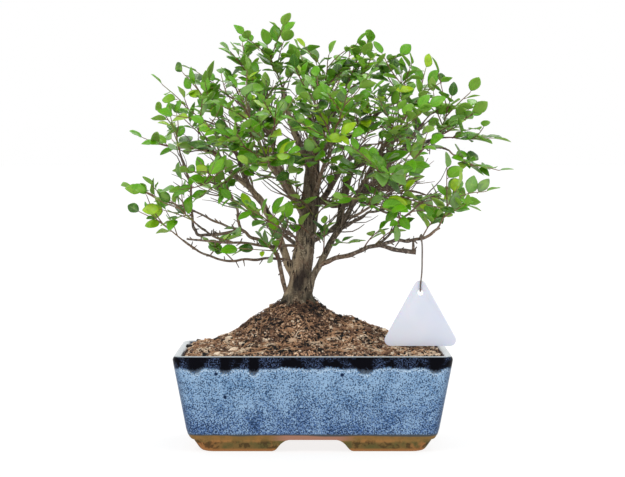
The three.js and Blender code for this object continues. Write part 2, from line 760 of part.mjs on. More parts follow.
// Over the branch, down, through the tag's hole from the front and up behind it
function makeWire() {
  const points = [];
  for (const angle of [-0.9, -0.3, 0.4, 1.1, 1.6, 2.2, 2.8, 3.3]) {
    points.push([
      hookCentre[0],
      hookCentre[1] + hookRadius * Math.cos(angle),
      hookCentre[2] + hookRadius * Math.sin(angle),
    ]);
  }
  points.push([80.4, -44.9, 149], [80.4, -44.4, 140], [80.2, -44, 130], [79.3, -43.7, 121]);
  const lowest = tagHoleHeight + tagHoleRadius - wireRadius - 1.5 * gap;
  for (const angle of [3.3, 4, 4.71, 5.4, 6.1]) {
    points.push([
      tagCentre[0],
      tagCentre[1] + wireLoopRadius * Math.cos(angle),
      lowest + wireLoopRadius + wireLoopRadius * Math.sin(angle),
    ]);
  }
  points.push([79.2, -40.2, 122]);
  const section = new THREE.Shape();
  for (let i = 0; i < wireSides; i += 1) {
    const angle = (i / wireSides) * 2 * Math.PI;
    const x = wireRadius * Math.cos(angle);
    const y = wireRadius * Math.sin(angle);
    if (i === 0) section.moveTo(x, y);
    else section.lineTo(x, y);
  }
  section.closePath();
  const route = new THREE.CatmullRomCurve3(points.map(vector));
  return asSolid(new THREE.ExtrudeGeometry(section, { steps: wireSteps, extrudePath: route }));
}

const trunk = wasm.Manifold.union([
  trunkFoot(),
  trunkTube(),
  ...limbs.map(limbTube),
  ...[...sprayTips, ...innerTips].map((tip, index) => makeTwig(index)),
]);
const tag = makeTag();
const wire = makeWire();

addPart("pot", makePot(), colours.glaze, 0.25);
addPart("soil", makeSoil(), colours.soil, 0.95);
addPart("drain_screen_left", makeScreen(-1), colours.screenPlastic, 0.6);
addPart("drain_screen_right", makeScreen(1), colours.screenPlastic, 0.6);
addPart("trunk", trunk, colours.bark, 0.85, woodTolerance);
addPart("tag", tag, colours.tagPlastic, 0.4);
addPart("tag_wire", wire, colours.wireCoat, 0.5);

const placed = [trunk, tag, wire];
[...sprayTips, ...innerTips].forEach((tip, index) => {
  const spray = makeSpray(index, placed);
  placed.push(spray);
  const inner = index + 1 - sprayTips.length;
  const name = inner > 0 ? `inner_spray_${inner}` : `spray_${String(index + 1).padStart(2, "0")}`;
  addPart(name, spray, colours.leaf, 0.45);
});

export default group;
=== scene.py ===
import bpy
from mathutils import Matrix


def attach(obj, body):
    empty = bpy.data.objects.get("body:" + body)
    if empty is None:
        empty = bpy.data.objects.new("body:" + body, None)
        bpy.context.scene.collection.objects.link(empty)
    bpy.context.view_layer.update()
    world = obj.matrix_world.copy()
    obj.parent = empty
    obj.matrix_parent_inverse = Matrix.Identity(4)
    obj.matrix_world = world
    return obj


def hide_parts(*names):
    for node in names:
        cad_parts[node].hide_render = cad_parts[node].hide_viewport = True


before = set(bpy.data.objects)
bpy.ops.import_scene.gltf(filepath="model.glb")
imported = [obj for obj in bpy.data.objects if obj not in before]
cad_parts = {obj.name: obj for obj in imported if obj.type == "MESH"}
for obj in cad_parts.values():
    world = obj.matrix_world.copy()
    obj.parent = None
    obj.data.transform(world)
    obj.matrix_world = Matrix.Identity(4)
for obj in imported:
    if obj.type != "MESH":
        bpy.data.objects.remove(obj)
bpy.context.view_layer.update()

import math

import bmesh
import bpy
from mathutils import Matrix, Vector, noise

mm = 0.001
drawSteps = (12.9898, 78.233, 37.719, 53.117)
drawScale = 43758.5453


def mix(ends, share):
    return ends[0] + (ends[1] - ends[0]) * share


def draw(*keys):  # the same keys always give the same number between 0 and 1
    angle = sum((key + 1) * step for key, step in zip(keys, drawSteps))
    wave = math.sin(angle) * drawScale
    return wave - math.floor(wave)


def everyOther(number, side=1):  # one side, then the other
    return side if number % 2 == 0 else -side


# Materials
class Field:  # what a node gives, with short ways to add the nodes that use it
    def __init__(self, tree, socket):
        self.tree, self.socket = tree, socket

    def into(self, kind, inputs, output=0, **settings):
        return Field(self.tree, addNode(self.tree, kind, inputs, **settings).outputs[output])

    def maths(self, operation, other=0.0):
        return self.into("ShaderNodeMath", {0: self, 1: other}, operation=operation)

    def __add__(self, other):
        return self.maths("ADD", other)

    def __sub__(self, other):
        return self.maths("SUBTRACT", other)

    def __rsub__(self, other):
        return self.into("ShaderNodeMath", {0: other, 1: self}, operation="SUBTRACT")

    def __mul__(self, other):
        return self.maths("MULTIPLY", other)

    def __abs__(self):
        return self.maths("ABSOLUTE")

    def stretch(self, low, high):  # 0 at low and 1 at high, with soft ends
        return self.into("ShaderNodeMapRange", {0: self, 1: low, 2: high}, interpolation_type="SMOOTHSTEP")

    def between(self, first, second):  # from the first colour to the second as the mask rises
        inputs = {0: self, 6: colour(first), 7: colour(second)}
        return self.into("ShaderNodeMix", inputs, 2, data_type="RGBA")

    def valueBetween(self, first, second):
        return self.into("ShaderNodeMix", {0: self, 2: first, 3: second})

    def axis(self, number):
        return self.into("ShaderNodeSeparateXYZ", {0: self}, number)

    def scaled(self, scale):
        return self.into("ShaderNodeMapping", {"Vector": self, "Scale": scale})

    def noise(self, scale, detail=3.0, roughness=0.55):
        inputs = {"Vector": self, "Scale": scale, "Detail": detail, "Roughness": roughness}
        return self.into("ShaderNodeTexNoise", inputs)

    def cells(self, scale):
        return self.into("ShaderNodeTexVoronoi", {"Vector": self, "Scale": scale}, "Distance")

    def grain(self, scale, low, high):
        inputs = {"Vector": self, "Scale": scale, "Low": low, "High": high}
        return self.into("ShaderNodeGroup", inputs, node_tree=grainGroup)

    def relief(self, scale, depth):
        inputs = {"Vector": self, "Scale": scale, "Depth": depth}
        return self.into("ShaderNodeGroup", inputs, node_tree=reliefGroup)


def colour(code):  # a hex code as a colour for a socket
    if isinstance(code, Field):
        return code
    parts = [int(code[i:i + 2], 16) / 255 for i in (1, 3, 5)]
    return (*[((part + 0.055) / 1.055) ** 2.4 if part > 0.04 else part / 12.92 for part in parts], 1)


def fillInputs(tree, node, inputs):
    for name, value in inputs.items():
        if isinstance(value, Field):
            tree.links.new(value.socket, node.inputs[name])
        else:
            node.inputs[name].default_value = value


def addNode(tree, kind, inputs, **settings):
    node = tree.nodes.new(kind)
    for name, value in settings.items():
        setattr(node, name, value)
    fillInputs(tree, node, inputs)
    return node


def newMaterial(name):
    material = bpy.data.materials.new(name)
    material.use_nodes = True
    return material


def startMaterial(name):  # a material, and the place of each point on its object
    material = newMaterial(name)
    tree = material.node_tree
    return material, Field(tree, addNode(tree, "ShaderNodeTexCoord", {}).outputs["Object"])


def finishMaterial(material, inputs):
    tree = material.node_tree
    fillInputs(tree, tree.nodes["Principled BSDF"], inputs)
    return material


def makeLayered(name, base, layers, roughness, bump, **more):  # grains of colour over a base
    material, place = startMaterial(name)
    for scale, low, high, code in layers:
        base = place.grain(scale, low, high).between(base, code)
    inputs = {"Base Color": base, "Roughness": roughness, "Normal": place.relief(*bump)}
    return finishMaterial(material, {**inputs, **more})


def makeGroup(name, numbers, output, kind):  # a group that takes a place and some numbers
    group = bpy.data.node_groups.new(name, "ShaderNodeTree")
    group.interface.new_socket("Vector", in_out="INPUT", socket_type="NodeSocketVector")
    for label, value in numbers.items():
        socket = group.interface.new_socket(label, in_out="INPUT", socket_type="NodeSocketFloat")
        socket.default_value = value
    group.interface.new_socket(output, in_out="OUTPUT", socket_type=f"NodeSocket{kind}")
    given = group.nodes.new("NodeGroupInput").outputs
    fields = [Field(group, given[label]) for label in ("Vector", *numbers)]
    return group, fields, group.nodes.new("NodeGroupOutput")


def makeGrainGroup():
    numbers = {"Scale": 100.0, "Low": 0.4, "High": 0.6}
    group, (vector, scale, low, high), result = makeGroup("grainMask", numbers, "Mask", "Float")
    fillInputs(group, result, {"Mask": vector.noise(scale).stretch(low, high)})
    return group


def makeReliefGroup():
    numbers = {"Scale": 100.0, "Depth": 0.0003}
    group, (vector, scale, depth), result = makeGroup("reliefNormal", numbers, "Normal", "Vector")
    inputs = {"Height": vector.noise(scale, 4.0, 0.6), "Distance": depth, "Strength": 1.0}
    fillInputs(group, result, {"Normal": vector.into("ShaderNodeBump", inputs)})
    return group


grainGroup = makeGrainGroup()
reliefGroup = makeReliefGroup()


# Pieces
def addObject(name, data):
    thing = bpy.data.objects.new(name, data)
    bpy.context.collection.objects.link(thing)
    return thing


def addPiece(name, mesh, materials, nodes=()):
    for material in materials:
        mesh.materials.append(material)
    piece = addObject(name, mesh)
    if nodes:
        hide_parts(*nodes)
    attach(piece, "root")
    return piece


def meshFrom(bm, name, smoothAngle=None):
    mesh = bpy.data.meshes.new(name)
    bm.to_mesh(mesh)
    bm.free()
    if smoothAngle is not None:
        mesh.shade_smooth()
        mesh.set_sharp_from_angle(angle=math.radians(smoothAngle))
    return mesh


def evaluatedMesh(data, modifiers=()):  # a curve or mesh after its modifiers, as a plain mesh
    holder = addObject("holder", data)
    for kind, settings in modifiers:
        modifier = holder.modifiers.new(kind.lower(), kind)
        for name, value in settings.items():
            setattr(modifier, name, value)
    graph = bpy.context.evaluated_depsgraph_get()
    mesh = bpy.data.meshes.new_from_object(holder.evaluated_get(graph), depsgraph=graph)
    bpy.data.objects.remove(holder)
    return mesh


def newCurve(sides, resolution):
    curve = bpy.data.curves.new("branches", "CURVE")
    curve.dimensions = "3D"
    curve.bevel_depth = mm
    curve.bevel_resolution = (sides - 4) // 2
    curve.resolution_u = resolution
    curve.use_fill_caps = True
    return curve


def addSpline(curve, points, radii):  # points and radii in millimetres
    spline = curve.splines.new("BEZIER")
    spline.bezier_points.add(len(points) - 1)
    for knot, point, radius in zip(spline.bezier_points, points, radii):
        knot.co = Vector(point) * mm
        knot.radius = radius
        knot.handle_left_type = knot.handle_right_type = "AUTO"


def smoothMesh(curve):
    mesh = evaluatedMesh(curve)
    mesh.shade_smooth()
    return mesh


# Camera, floor and light
camera = {
    "place": (-0.0002, -1.777, 0.217), "aimHeight": 0.1535, "focalPixels": 2359, "widthPixels": 625,
    "sensorWidth": 36, "near": 0.05, "far": 100,
}
studio = {
    "floorRadius": 40, "floorDrop": 0.0002, "floorColour": "#707070", "floorGlow": 0.83,
    "white": (1, 1, 1, 1), "skyStrength": 1.0,
    "lamps": [  # place, size, power
        ((-1.1, -1.5, 1.9), 0.9, 20),
        ((1.5, -1.4, 1.2), 0.8, 7),
        ((0.5, 1.2, 1.9), 1.0, 12),
    ],
    "aim": (0, 0, 0.15),
}


def aimAt(thing, spot):
    thing.rotation_euler = (Vector(spot) - thing.location).to_track_quat("-Z", "Y").to_euler()


def makeCamera():
    data = bpy.data.cameras.new("camera")
    data.sensor_width = camera["sensorWidth"]
    data.lens = camera["focalPixels"] * data.sensor_width / camera["widthPixels"]
    data.clip_start, data.clip_end = camera["near"], camera["far"]
    viewer = addObject("camera", data)
    viewer.location = camera["place"]
    aimAt(viewer, (camera["place"][0], 0, camera["aimHeight"]))
    bpy.context.scene.camera = viewer


def makeStudio():
    bm = bmesh.new()
    bmesh.ops.create_circle(bm, cap_ends=True, segments=64, radius=studio["floorRadius"])
    floor = addObject("floor", meshFrom(bm, "floor"))
    floor.data.materials.append(finishMaterial(newMaterial("floorPaint"), {
        "Base Color": colour(studio["floorColour"]), "Roughness": 0.9, "Specular IOR Level": 0.1,
        "Emission Color": studio["white"], "Emission Strength": studio["floorGlow"],
    }))
    floor.location.z = -studio["floorDrop"]
    for i, (spot, size, power) in enumerate(studio["lamps"]):
        data = bpy.data.lights.new(f"lamp{i}", "AREA")
        data.shape, data.size, data.energy = "DISK", size, power
        lamp = addObject(f"lamp{i}", data)
        lamp.location = spot
        aimAt(lamp, studio["aim"])
    world = bpy.data.worlds.new("studio")
    world.use_nodes = True
    sky = {"Color": studio["white"], "Strength": studio["skyStrength"]}
    fillInputs(world.node_tree, world.node_tree.nodes["Background"], sky)
    bpy.context.scene.world = world
    bpy.context.scene.view_settings.view_transform = "Standard"  # white stays white, colours as mixed


makeCamera()
makeStudio()
print("camera and studio")

# Pot
pot = {
    "length": 205.2, "depth": 153, "height": 70.7,
    "baseLength": 183.8, "baseDepth": 132, "glazeBottom": 12, "bandBottom": 64,
    "cornerRadius": 10, "smallestRadius": 3, "cornerSteps": 10, "wall": 7.6, "floorTop": 15, "underside": 8.7,
    "footTop": (175, 127), "footSpread": (6, 2), "footWidth": 14, "sharp": 38,
    "arches": [(40.6, 59), (32, 52)],
    "drainRadius": 9, "drainPlace": 45, "drainDepth": 30,
    # How far each level of the wall is above the height that it names, and in from the wall
    "hem": [("underside", 0, 3.4), ("underside", 0.5, 2.4), ("underside", 1.6, 1.6),
            ("glazeBottom", -0.5, 1.1), ("glazeBottom", 0.5, 0.5), ("glazeBottom", 2, 0.3),
            ("glazeBottom", 5, 0), ("bandBottom", -18, 0), ("bandBottom", 0, 0)],
    # How far each level of the lip is below the rim, and of the corner above the floor, and how far in
    "lip": [(3, 0.1), (2, 0.45), (1.1, 1), (0.3, 2.1), (0, 3.2), (0, 4.8), (0.4, 6), (1.3, 7), (2.8, 7.6)],
    "floorCorner": [(3, 0), (1, 0.8), (0, 3)],
    # How far each level of the feet is above the ground or above the underside, and how far in
    "sole": [(0, 2.6), (0.5, 1), (1.4, 0.25), (2.8, 0), (4.8, 0)],
    "footHead": [(-1, 0), (0, 0.4), (1.5, 0.4)],
    # An arch's side: how far beyond half its lower or upper width, and how high. It ends at the underside
    "archLow": [(1.1, -1), (0.1, 0.1), (-1.5, 0.7), (-2.9, 1.8)],
    "archHigh": [(3.2, 5.6), (1.4, 7), (-0.4, 8.1)], "archEnd": -3,
}
glaze = {
    "pale": "#8ca9c6", "mid": "#56799f", "deep": "#3f5c8b", "gap": "#14243f",
    "band": "#020208", "bandFleck": "#5a6f98", "fringe": "#30353f", "lip": "#bccfdf",
    # The side colour is painted shade at the ends of the front, where the wall turns
    "rim": "#a6aeb3", "edge": "#454a4d", "side": "#3b4a63",
    "clay": "#9c6a3e", "clayOlive": "#56502f", "clayDark": "#382c1c", "clayPink": "#a07562",
    "clayOchre": "#86683c", "gloss": 0.13, "clayRoughness": 0.7,
    # Where the dark band ends, and where its runs are on the front, how far they reach to each side and
    # how deep they hang, in metres
    "bandEnd": 0.0638,
    "runs": [(-0.0855, 0.0085, 0.003), (-0.0634, 0.0065, 0.0036), (-0.0425, 0.006, 0.0044),
             (0.0383, 0.0075, 0.0038), (0.088, 0.007, 0.0034)],
}


def potSize(height):
    share = (height - pot["glazeBottom"]) / (pot["height"] - pot["glazeBottom"])
    return mix((pot["baseLength"], pot["length"]), share), mix((pot["baseDepth"], pot["depth"]), share)


def outlinePoint(column, steps, length, depth, radius):  # a point on a rounded rectangle
    corner = column // (steps + 1) % 4
    angle = (corner + column % (steps + 1) / steps) * math.pi / 2
    signX = 1 if corner in (0, 3) else -1
    signY = 1 if corner < 2 else -1
    return (
        signX * (length / 2 - radius) + radius * math.cos(angle),
        signY * (depth / 2 - radius) + radius * math.sin(angle),
    )


def potLevel(height, inset):
    length, depth = potSize(height)
    radius = max(pot["cornerRadius"] - inset, pot["smallestRadius"])
    return length - 2 * inset, depth - 2 * inset, radius, height


def footLevel(height, inset):
    share = 1 - height / pot["underside"]
    sizes = [size - 2 * (spread * share + inset) for size, spread in zip(pot["footTop"], pot["footSpread"])]
    return *sizes, max(pot["cornerRadius"] - inset, pot["smallestRadius"]), height


def stackLoops(name, levels):  # a closed shell through rounded rectangles
    steps = pot["cornerSteps"]
    bm = bmesh.new()
    made = bmesh.ops.create_circle(bm, cap_ends=True, segments=4 * (steps + 1), radius=1)
    loop = sorted(made["verts"], key=lambda vert: math.atan2(vert.co.y, vert.co.x) % (2 * math.pi))
    edges = list(bm.edges)
    for number, (length, depth, radius, height) in enumerate(levels):
        if number:
            grown = bmesh.ops.extrude_edge_only(bm, edges=edges)["geom"]
            fresh = {item for item in grown if isinstance(item, bmesh.types.BMVert)}
            loop = [next(edge.other_vert(vert) for edge in vert.link_edges if edge.other_vert(vert) in fresh)
                    for vert in loop]
            edges = [edge for edge in bm.edges if edge.verts[0] in fresh and edge.verts[1] in fresh]
        for column, vert in enumerate(loop):
            x, y = outlinePoint(column, steps, length, depth, radius)
            vert.co = Vector((x, y, height)) * mm
    bmesh.ops.contextual_create(bm, geom=edges)
    bmesh.ops.recalc_face_normals(bm, faces=bm.faces)
    return meshFrom(bm, name)


def archBlock(topWidth, bottomWidth, reach, turn):  # a low rounded arch right through
    bm = bmesh.new()
    right = [(bottomWidth / 2 + out, height) for out, height in pot["archLow"]]
    right += [(topWidth / 2 + out, height) for out, height in pot["archHigh"]]
    right.append((topWidth / 2 + pot["archEnd"], pot["underside"]))
    left = [(-x, z) for x, z in right]
    profile = [left[0], *right, *reversed(left[1:])]
    face = bm.faces.new([bm.verts.new(Vector((x, -reach / 2, z)) * mm) for x, z in profile])
    grown = bmesh.ops.extrude_face_region(bm, geom=[face])["geom"]
    verts = [item for item in grown if isinstance(item, bmesh.types.BMVert)]
    bmesh.ops.translate(bm, verts=verts, vec=(0, reach * mm, 0))
    bmesh.ops.rotate(bm, verts=bm.verts, matrix=Matrix.Rotation(turn, 3, "Z"))
    bmesh.ops.recalc_face_normals(bm, faces=bm.faces)
    return meshFrom(bm, "arch")


def drainBlock(side):
    bm = bmesh.new()
    hole = Matrix.Translation((side * pot["drainPlace"] * mm, 0, pot["floorTop"] * mm))
    radius = pot["drainRadius"] * mm
    bmesh.ops.create_cone(bm, cap_ends=True, segments=40, radius1=radius, radius2=radius,
                          depth=pot["drainDepth"] * mm, matrix=hole)
    return meshFrom(bm, "drain")


def cut(mesh, cutters, operation="DIFFERENCE"):
    for cutter in cutters:
        tool = addObject("tool", cutter)
        settings = {"operation": operation, "object": tool, "solver": "EXACT"}
        mesh = evaluatedMesh(mesh, [("BOOLEAN", settings)])
        bpy.data.objects.remove(tool)
    return mesh


def makeGlazeMaterial():
    material, place = startMaterial("speckledGlaze")
    beside, front, height = [place.axis(number) for number in range(3)]
    around = place.scaled((1, 1, 0))
    fine, broad, clouds = place.noise(1150, 2, 0.6), place.noise(22, 2), place.noise(70, 3)
    drift = clouds - 0.5
    # Pale at the top and bluer lower down, under a net of fine dark gaps
    tone = height.stretch(0.014, 0.062) + broad * 0.9
    body = tone.stretch(0.3, 1.5).between(glaze["deep"], glaze["mid"])
    light = fine + drift * 0.4 + height.stretch(0.016, 0.064) * 0.1
    body = light.stretch(0.42, 0.68).between(body, glaze["pale"])
    dots = place.cells(800) + (light - 0.55) * 0.8
    body = (dots.stretch(0.54, 0.26) * 0.85).between(body, glaze["gap"])
    body = place.cells(48).stretch(0.085, 0.05).between(body, glaze["gap"])
    # The dark band hangs down in runs, with pale flecks along its edge
    runs = around.noise(21, 1).stretch(0.54, 0.68) * 0.004
    onFront = front.stretch(-0.06, -0.066)
    for middle, reach, depth in glaze["runs"]:
        away = abs(beside - middle) + drift * 0.012
        runs = runs.maths("MAXIMUM", away.stretch(reach, reach * 0.2) * depth * onFront)
    jags = (fine + drift * 0.8 - 0.5) * 0.007
    ragged = height - (glaze["bandEnd"] - around.noise(110, 3) * 0.004) + jags
    band = (ragged + runs * 0.35).stretch(-0.0006, 0.0008)
    hanging = (ragged + runs).stretch(-0.0005, 0.0007)
    offRuns = (runs + drift * 0.007).stretch(0.003, -0.0008)
    flecks = fine.stretch(0.5, 0.6) * clouds.stretch(0.42, 0.58) * offRuns
    bandTone = (flecks * 0.8).between(glaze["band"], glaze["bandFleck"])
    lip = (ragged + runs).stretch(-0.0026, -0.0006) * fine.stretch(0.46, 0.56)
    body = (lip * 0.8).between(body, glaze["lip"])
    body = (hanging * 0.85).between(body, glaze["fringe"])
    # Painted shade: the ends of the front are darker where the wall turns away from the light
    paintedTurnShade = (abs(beside) - (height * 0.185 + 0.0897)).stretch(-0.006, -0.001)
    body = (paintedTurnShade * 0.55).between(body, glaze["side"])
    body = band.between(body, bandTone)
    # Painted highlight: the flat top of the rim is paler
    body = height.stretch(0.0699, 0.0705).between(body, glaze["rim"])
    # A thin dull roll of glaze ends above the bare clay, which is browner in the middle of each foot
    body = height.stretch(0.0138, 0.0124).between(body, glaze["edge"])
    clay = place.grain(90, 0.4, 0.6).between(glaze["clay"], glaze["clayOlive"])
    middle = abs(abs(beside) - 0.05).stretch(0.034, 0.012) * height.stretch(0.0085, 0.006)
    clay = (middle * 0.75).between(clay, glaze["clayOlive"])
    clay = (place.grain(230, 0.46, 0.62) * 0.75).between(clay, glaze["clayDark"])
    uneven = height + (broad - 0.5) * 0.004
    clay = (uneven.stretch(0.0062, 0.0098) * 0.8).between(clay, glaze["clayOchre"])
    inArch = abs(beside).stretch(0.034, 0.018) * height.stretch(0.0076, 0.0088)
    clay = inArch.between(clay, glaze["clayPink"])
    clay = height.stretch(0.0032, 0.0008).between(clay, glaze["clay"])
    bare = uneven.stretch(0.0124, 0.0112)
    return finishMaterial(material, {
        "Base Color": bare.between(body, clay), "Normal": place.relief(160, 0.00022),
        "Roughness": bare.valueBetween(glaze["gloss"], glaze["clayRoughness"]), "Specular IOR Level": 0.05,
    })


def makePot():
    shell = stackLoops("pot", [
        *[potLevel(pot[start] + rise, inset) for start, rise, inset in pot["hem"]],
        *[potLevel(pot["height"] - drop, inset) for drop, inset in pot["lip"]],
        *[potLevel(pot["floorTop"] + rise, pot["wall"] + inset) for rise, inset in pot["floorCorner"]],
    ])
    feet = stackLoops("feet", [
        *[footLevel(height, inset) for height, inset in pot["sole"]],
        *[footLevel(pot["underside"] + rise, inset) for rise, inset in pot["footHead"]],
    ])
    inner = stackLoops("inner", [footLevel(height, pot["footWidth"]) for height in (-1, pot["underside"])])
    arches = [archBlock(*widths, reach, turn) for widths, reach, turn
              in zip(pot["arches"], (pot["depth"], pot["length"]), (0, math.pi / 2))]
    drains = [drainBlock(side) for side in (-1, 1)]
    mesh = cut(cut(shell, [cut(feet, [inner, *arches])], "UNION"), drains)
    mesh.shade_smooth()
    mesh.set_sharp_from_angle(angle=math.radians(pot["sharp"]))
    addPiece("potBody", mesh, [makeGlazeMaterial()], ["pot"])


makePot()
print("pot")

# Soil
soil = {
    "edge": 67, "rise": 46, "trunkX": -11,
    "fallLeft": 44, "fallRight": 62, "fallFront": 38, "fallBack": 48, "power": 1.4,
    "topLimit": 69.4, "gap": 0.3, "floorInset": 3,
    "lumps": [(0.07, 1.6), (0.22, 1.3), (0.7, 0.6)],  # how fine and how high
    "humps": [(-43, 15, 2.8), (14, 12, -4.5)],  # place, reach and height of low swells along the mound
    "humpDepth": 30, "columns": 150, "rows": 110,
    "crumbs": 8200, "crumbSize": (0.7, 2.1), "bigCrumbs": 420, "bigCrumbSize": (2.2, 4.2),
    "crumbBreadth": (0.4, 0.9), "crumbHeight": (0.35, 0.8), "crumbRise": 0.18, "crumbJag": 0.7,
    "fibres": 1100, "fibreLength": (5, 26), "fibreRadius": (0.18, 0.38), "fibreTaper": (1, 1, 0.9, 0.8, 0.5),
    "fibreLimit": (88, 63), "shadeReach": 34, "shade": 0.8,
    "black": "#0c0807", "dark": "#2d201b", "brown": "#825e48", "tan": "#cd9f78", "straw": "#f5dfc4",
    "ramp": [(0, "black"), (0.28, "dark"), (0.55, "brown"), (0.8, "tan"), (1, "straw")],
    "blackShare": 0.23, "paleLeft": 0.62, "paleRight": 0.42,
}


def soilHeight(x, y):
    across = soil["fallLeft"] if x < soil["trunkX"] else soil["fallRight"]
    depth = soil["fallFront"] if y < 0 else soil["fallBack"]
    away = math.hypot((x - soil["trunkX"]) / across, y / depth)
    return soil["edge"] + soil["rise"] * math.exp(-(away ** soil["power"]))


def lumpySoil(x, y):
    spot = Vector((x, y, 0))
    lumps = sum(noise.noise(spot * scale) * height for scale, height in soil["lumps"])
    lumps += sum(height * math.exp(-((x - middle) / reach) ** 2 - (y / soil["humpDepth"]) ** 2)
                 for middle, reach, height in soil["humps"])
    return soilHeight(x, y) + lumps


def soilTone(mask):  # from black through brown to straw
    ramp = addNode(mask.tree, "ShaderNodeValToRGB", {0: mask})
    elements = ramp.color_ramp.elements
    while len(elements) < len(soil["ramp"]):
        elements.new(0.5)
    for element, (position, name) in zip(elements, soil["ramp"]):
        element.position = position
        element.color = colour(soil[name])
    return Field(mask.tree, ramp.outputs[0])


def makeSoilMaterial():
    material, place = startMaterial("pottingSoil")
    tone = soilTone(place.noise(700, 3).stretch(0.3, 0.72))
    tone = (place.grain(45, 0.4, 0.65) * 0.5).between(tone, soil["dark"])
    inputs = {"Base Color": tone, "Roughness": 0.95, "Normal": place.relief(600, 0.0012)}
    return finishMaterial(material, inputs)


def makeCrumbMaterial():
    material, place = startMaterial("barkCrumbs")
    tint = place.into("ShaderNodeAttribute", {}, "Fac", attribute_name="tint")
    tone = (place.grain(900, 0.35, 0.6) * 0.3).between(soilTone(tint), soil["black"])
    inputs = {"Base Color": tone, "Roughness": 0.9, "Normal": place.relief(900, 0.0006)}
    return finishMaterial(material, inputs)


def makeSoil(material):
    length, depth = [size - 2 * (pot["wall"] + soil["gap"]) for size in potSize(soil["edge"])]
    bm = bmesh.new()
    bmesh.ops.create_grid(bm, x_segments=soil["columns"], y_segments=soil["rows"], size=0.5)
    for vert in bm.verts:
        x, y = vert.co.x * length, vert.co.y * depth
        onEdge = max(abs(vert.co.x), abs(vert.co.y)) > 0.499
        height = min(lumpySoil(x, y), soil["topLimit"]) if onEdge else lumpySoil(x, y)
        vert.co = Vector((x, y, height)) * mm
    edges = [edge for edge in bm.edges if edge.is_boundary]
    grown = bmesh.ops.extrude_edge_only(bm, edges=edges)["geom"]
    bottom = pot["floorTop"] + soil["gap"]
    lowLength, lowDepth, _, _ = potLevel(bottom, pot["wall"] + soil["floorInset"] + soil["gap"])
    for vert in [item for item in grown if isinstance(item, bmesh.types.BMVert)]:
        vert.co = Vector((vert.co.x * lowLength / length, vert.co.y * lowDepth / depth, bottom * mm))
    bmesh.ops.holes_fill(bm, edges=[edge for edge in bm.edges if edge.is_boundary], sides=0)
    bmesh.ops.recalc_face_normals(bm, faces=bm.faces)
    addPiece("soilMound", meshFrom(bm, "soilMound", 60), [material], ["soil"])


def soilPlace(key):  # a random spot on the soil, kept off the rim
    length, depth = [size - 2 * pot["wall"] - 3 for size in potSize(soil["edge"])]
    x, y = (draw(key, 1) - 0.5) * length, (draw(key, 2) - 0.5) * depth
    return x, y, lumpySoil(x, y)


# Painted shade: the soil, crumbs and fibres are darker close to the trunk
def trunkShade(x, y):
    return math.exp(-math.hypot(x - soil["trunkX"], y) / soil["shadeReach"]) * soil["shade"]


def soilTint(x, y, key):  # paler towards both ends, and darker near the trunk with painted shade
    if draw(key, 10) < soil["blackShare"]:
        return 0
    patch = noise.noise(Vector((x, y, 3)) * 0.06) * 0.3
    pale = soil["paleLeft"] if x < soil["trunkX"] else soil["paleRight"]
    ends = min(abs(x - soil["trunkX"]) / 70, 1) * pale
    return min(max((draw(key, 9) - 0.5) * 1.5 + 0.47 + patch + ends - trunkShade(x, y), 0), 1)


def makeCrumbs(name, count, sizes, seed, material):
    whole, batchSize = bmesh.new(), 80
    for start in range(0, count, batchSize):
        batch = bmesh.new()
        tint = batch.verts.layers.float.new("tint")
        for key in range(seed + start, seed + min(start + batchSize, count)):
            x, y, z = soilPlace(key)
            size = mix(sizes, draw(key, 3) ** 2.2) * mm
            turn = Matrix.Rotation(draw(key, 4) * 6.28, 4, "Z") @ Matrix.Rotation(draw(key, 5) * 3.14, 4, "X")
            shape = (1, mix(soil["crumbBreadth"], draw(key, 6)), mix(soil["crumbHeight"], draw(key, 7)), 1)
            spot = Matrix.Translation(Vector((x, y, z + size / mm * soil["crumbRise"])) * mm)
            matrix = spot @ turn @ Matrix.Diagonal(shape)
            shade = soilTint(x, y, key)
            for corner, vert in enumerate(bmesh.ops.create_cube(batch, size=size, matrix=matrix)["verts"]):
                vert.co += (vert.co - spot.translation) * (draw(key, corner, 8) - 0.5) * soil["crumbJag"]
                vert[tint] = shade
        part = meshFrom(batch, "batch")
        whole.from_mesh(part)
        bpy.data.meshes.remove(part)
    addPiece(name, meshFrom(whole, name), [material])


def makeFibres(material):
    curve = newCurve(4, 1)
    limitX, limitY = soil["fibreLimit"]
    for key in range(soil["fibres"]):
        x, y, _ = soilPlace(key + 40000)
        heading = draw(key, 21) * 2 * math.pi
        length = mix(soil["fibreLength"], draw(key, 22) ** 1.6)
        radius = mix(soil["fibreRadius"], draw(key, 23))
        points = []
        for step in range(5):
            points.append((x, y, lumpySoil(x, y) + 0.5 + draw(key, 24, step) * 1.5))
            heading += (draw(key, 25, step) - 0.5) * 1.2
            x += math.cos(heading) * length / 4
            y += math.sin(heading) * length / 4
            x, y = max(min(x, limitX), -limitX), max(min(y, limitY), -limitY)
        addSpline(curve, points, [radius * share for share in soil["fibreTaper"]])
    mesh = evaluatedMesh(curve)
    layer = mesh.attributes.new(name="tint", type="FLOAT", domain="POINT")
    for vert in mesh.vertices:
        shade = trunkShade(vert.co.x / mm, vert.co.y / mm)
        layer.data[vert.index].value = 0.83 + 0.6 * noise.noise(vert.co * 90) - shade * 0.8
    addPiece("soilFibres", mesh, [material])


makeSoil(makeSoilMaterial())
crumbMaterial = makeCrumbMaterial()
makeCrumbs("soilCrumbs", soil["crumbs"], soil["crumbSize"], 1000, crumbMaterial)
makeCrumbs("barkChips", soil["bigCrumbs"], soil["bigCrumbSize"], 30000, crumbMaterial)
makeFibres(crumbMaterial)
print("soil")

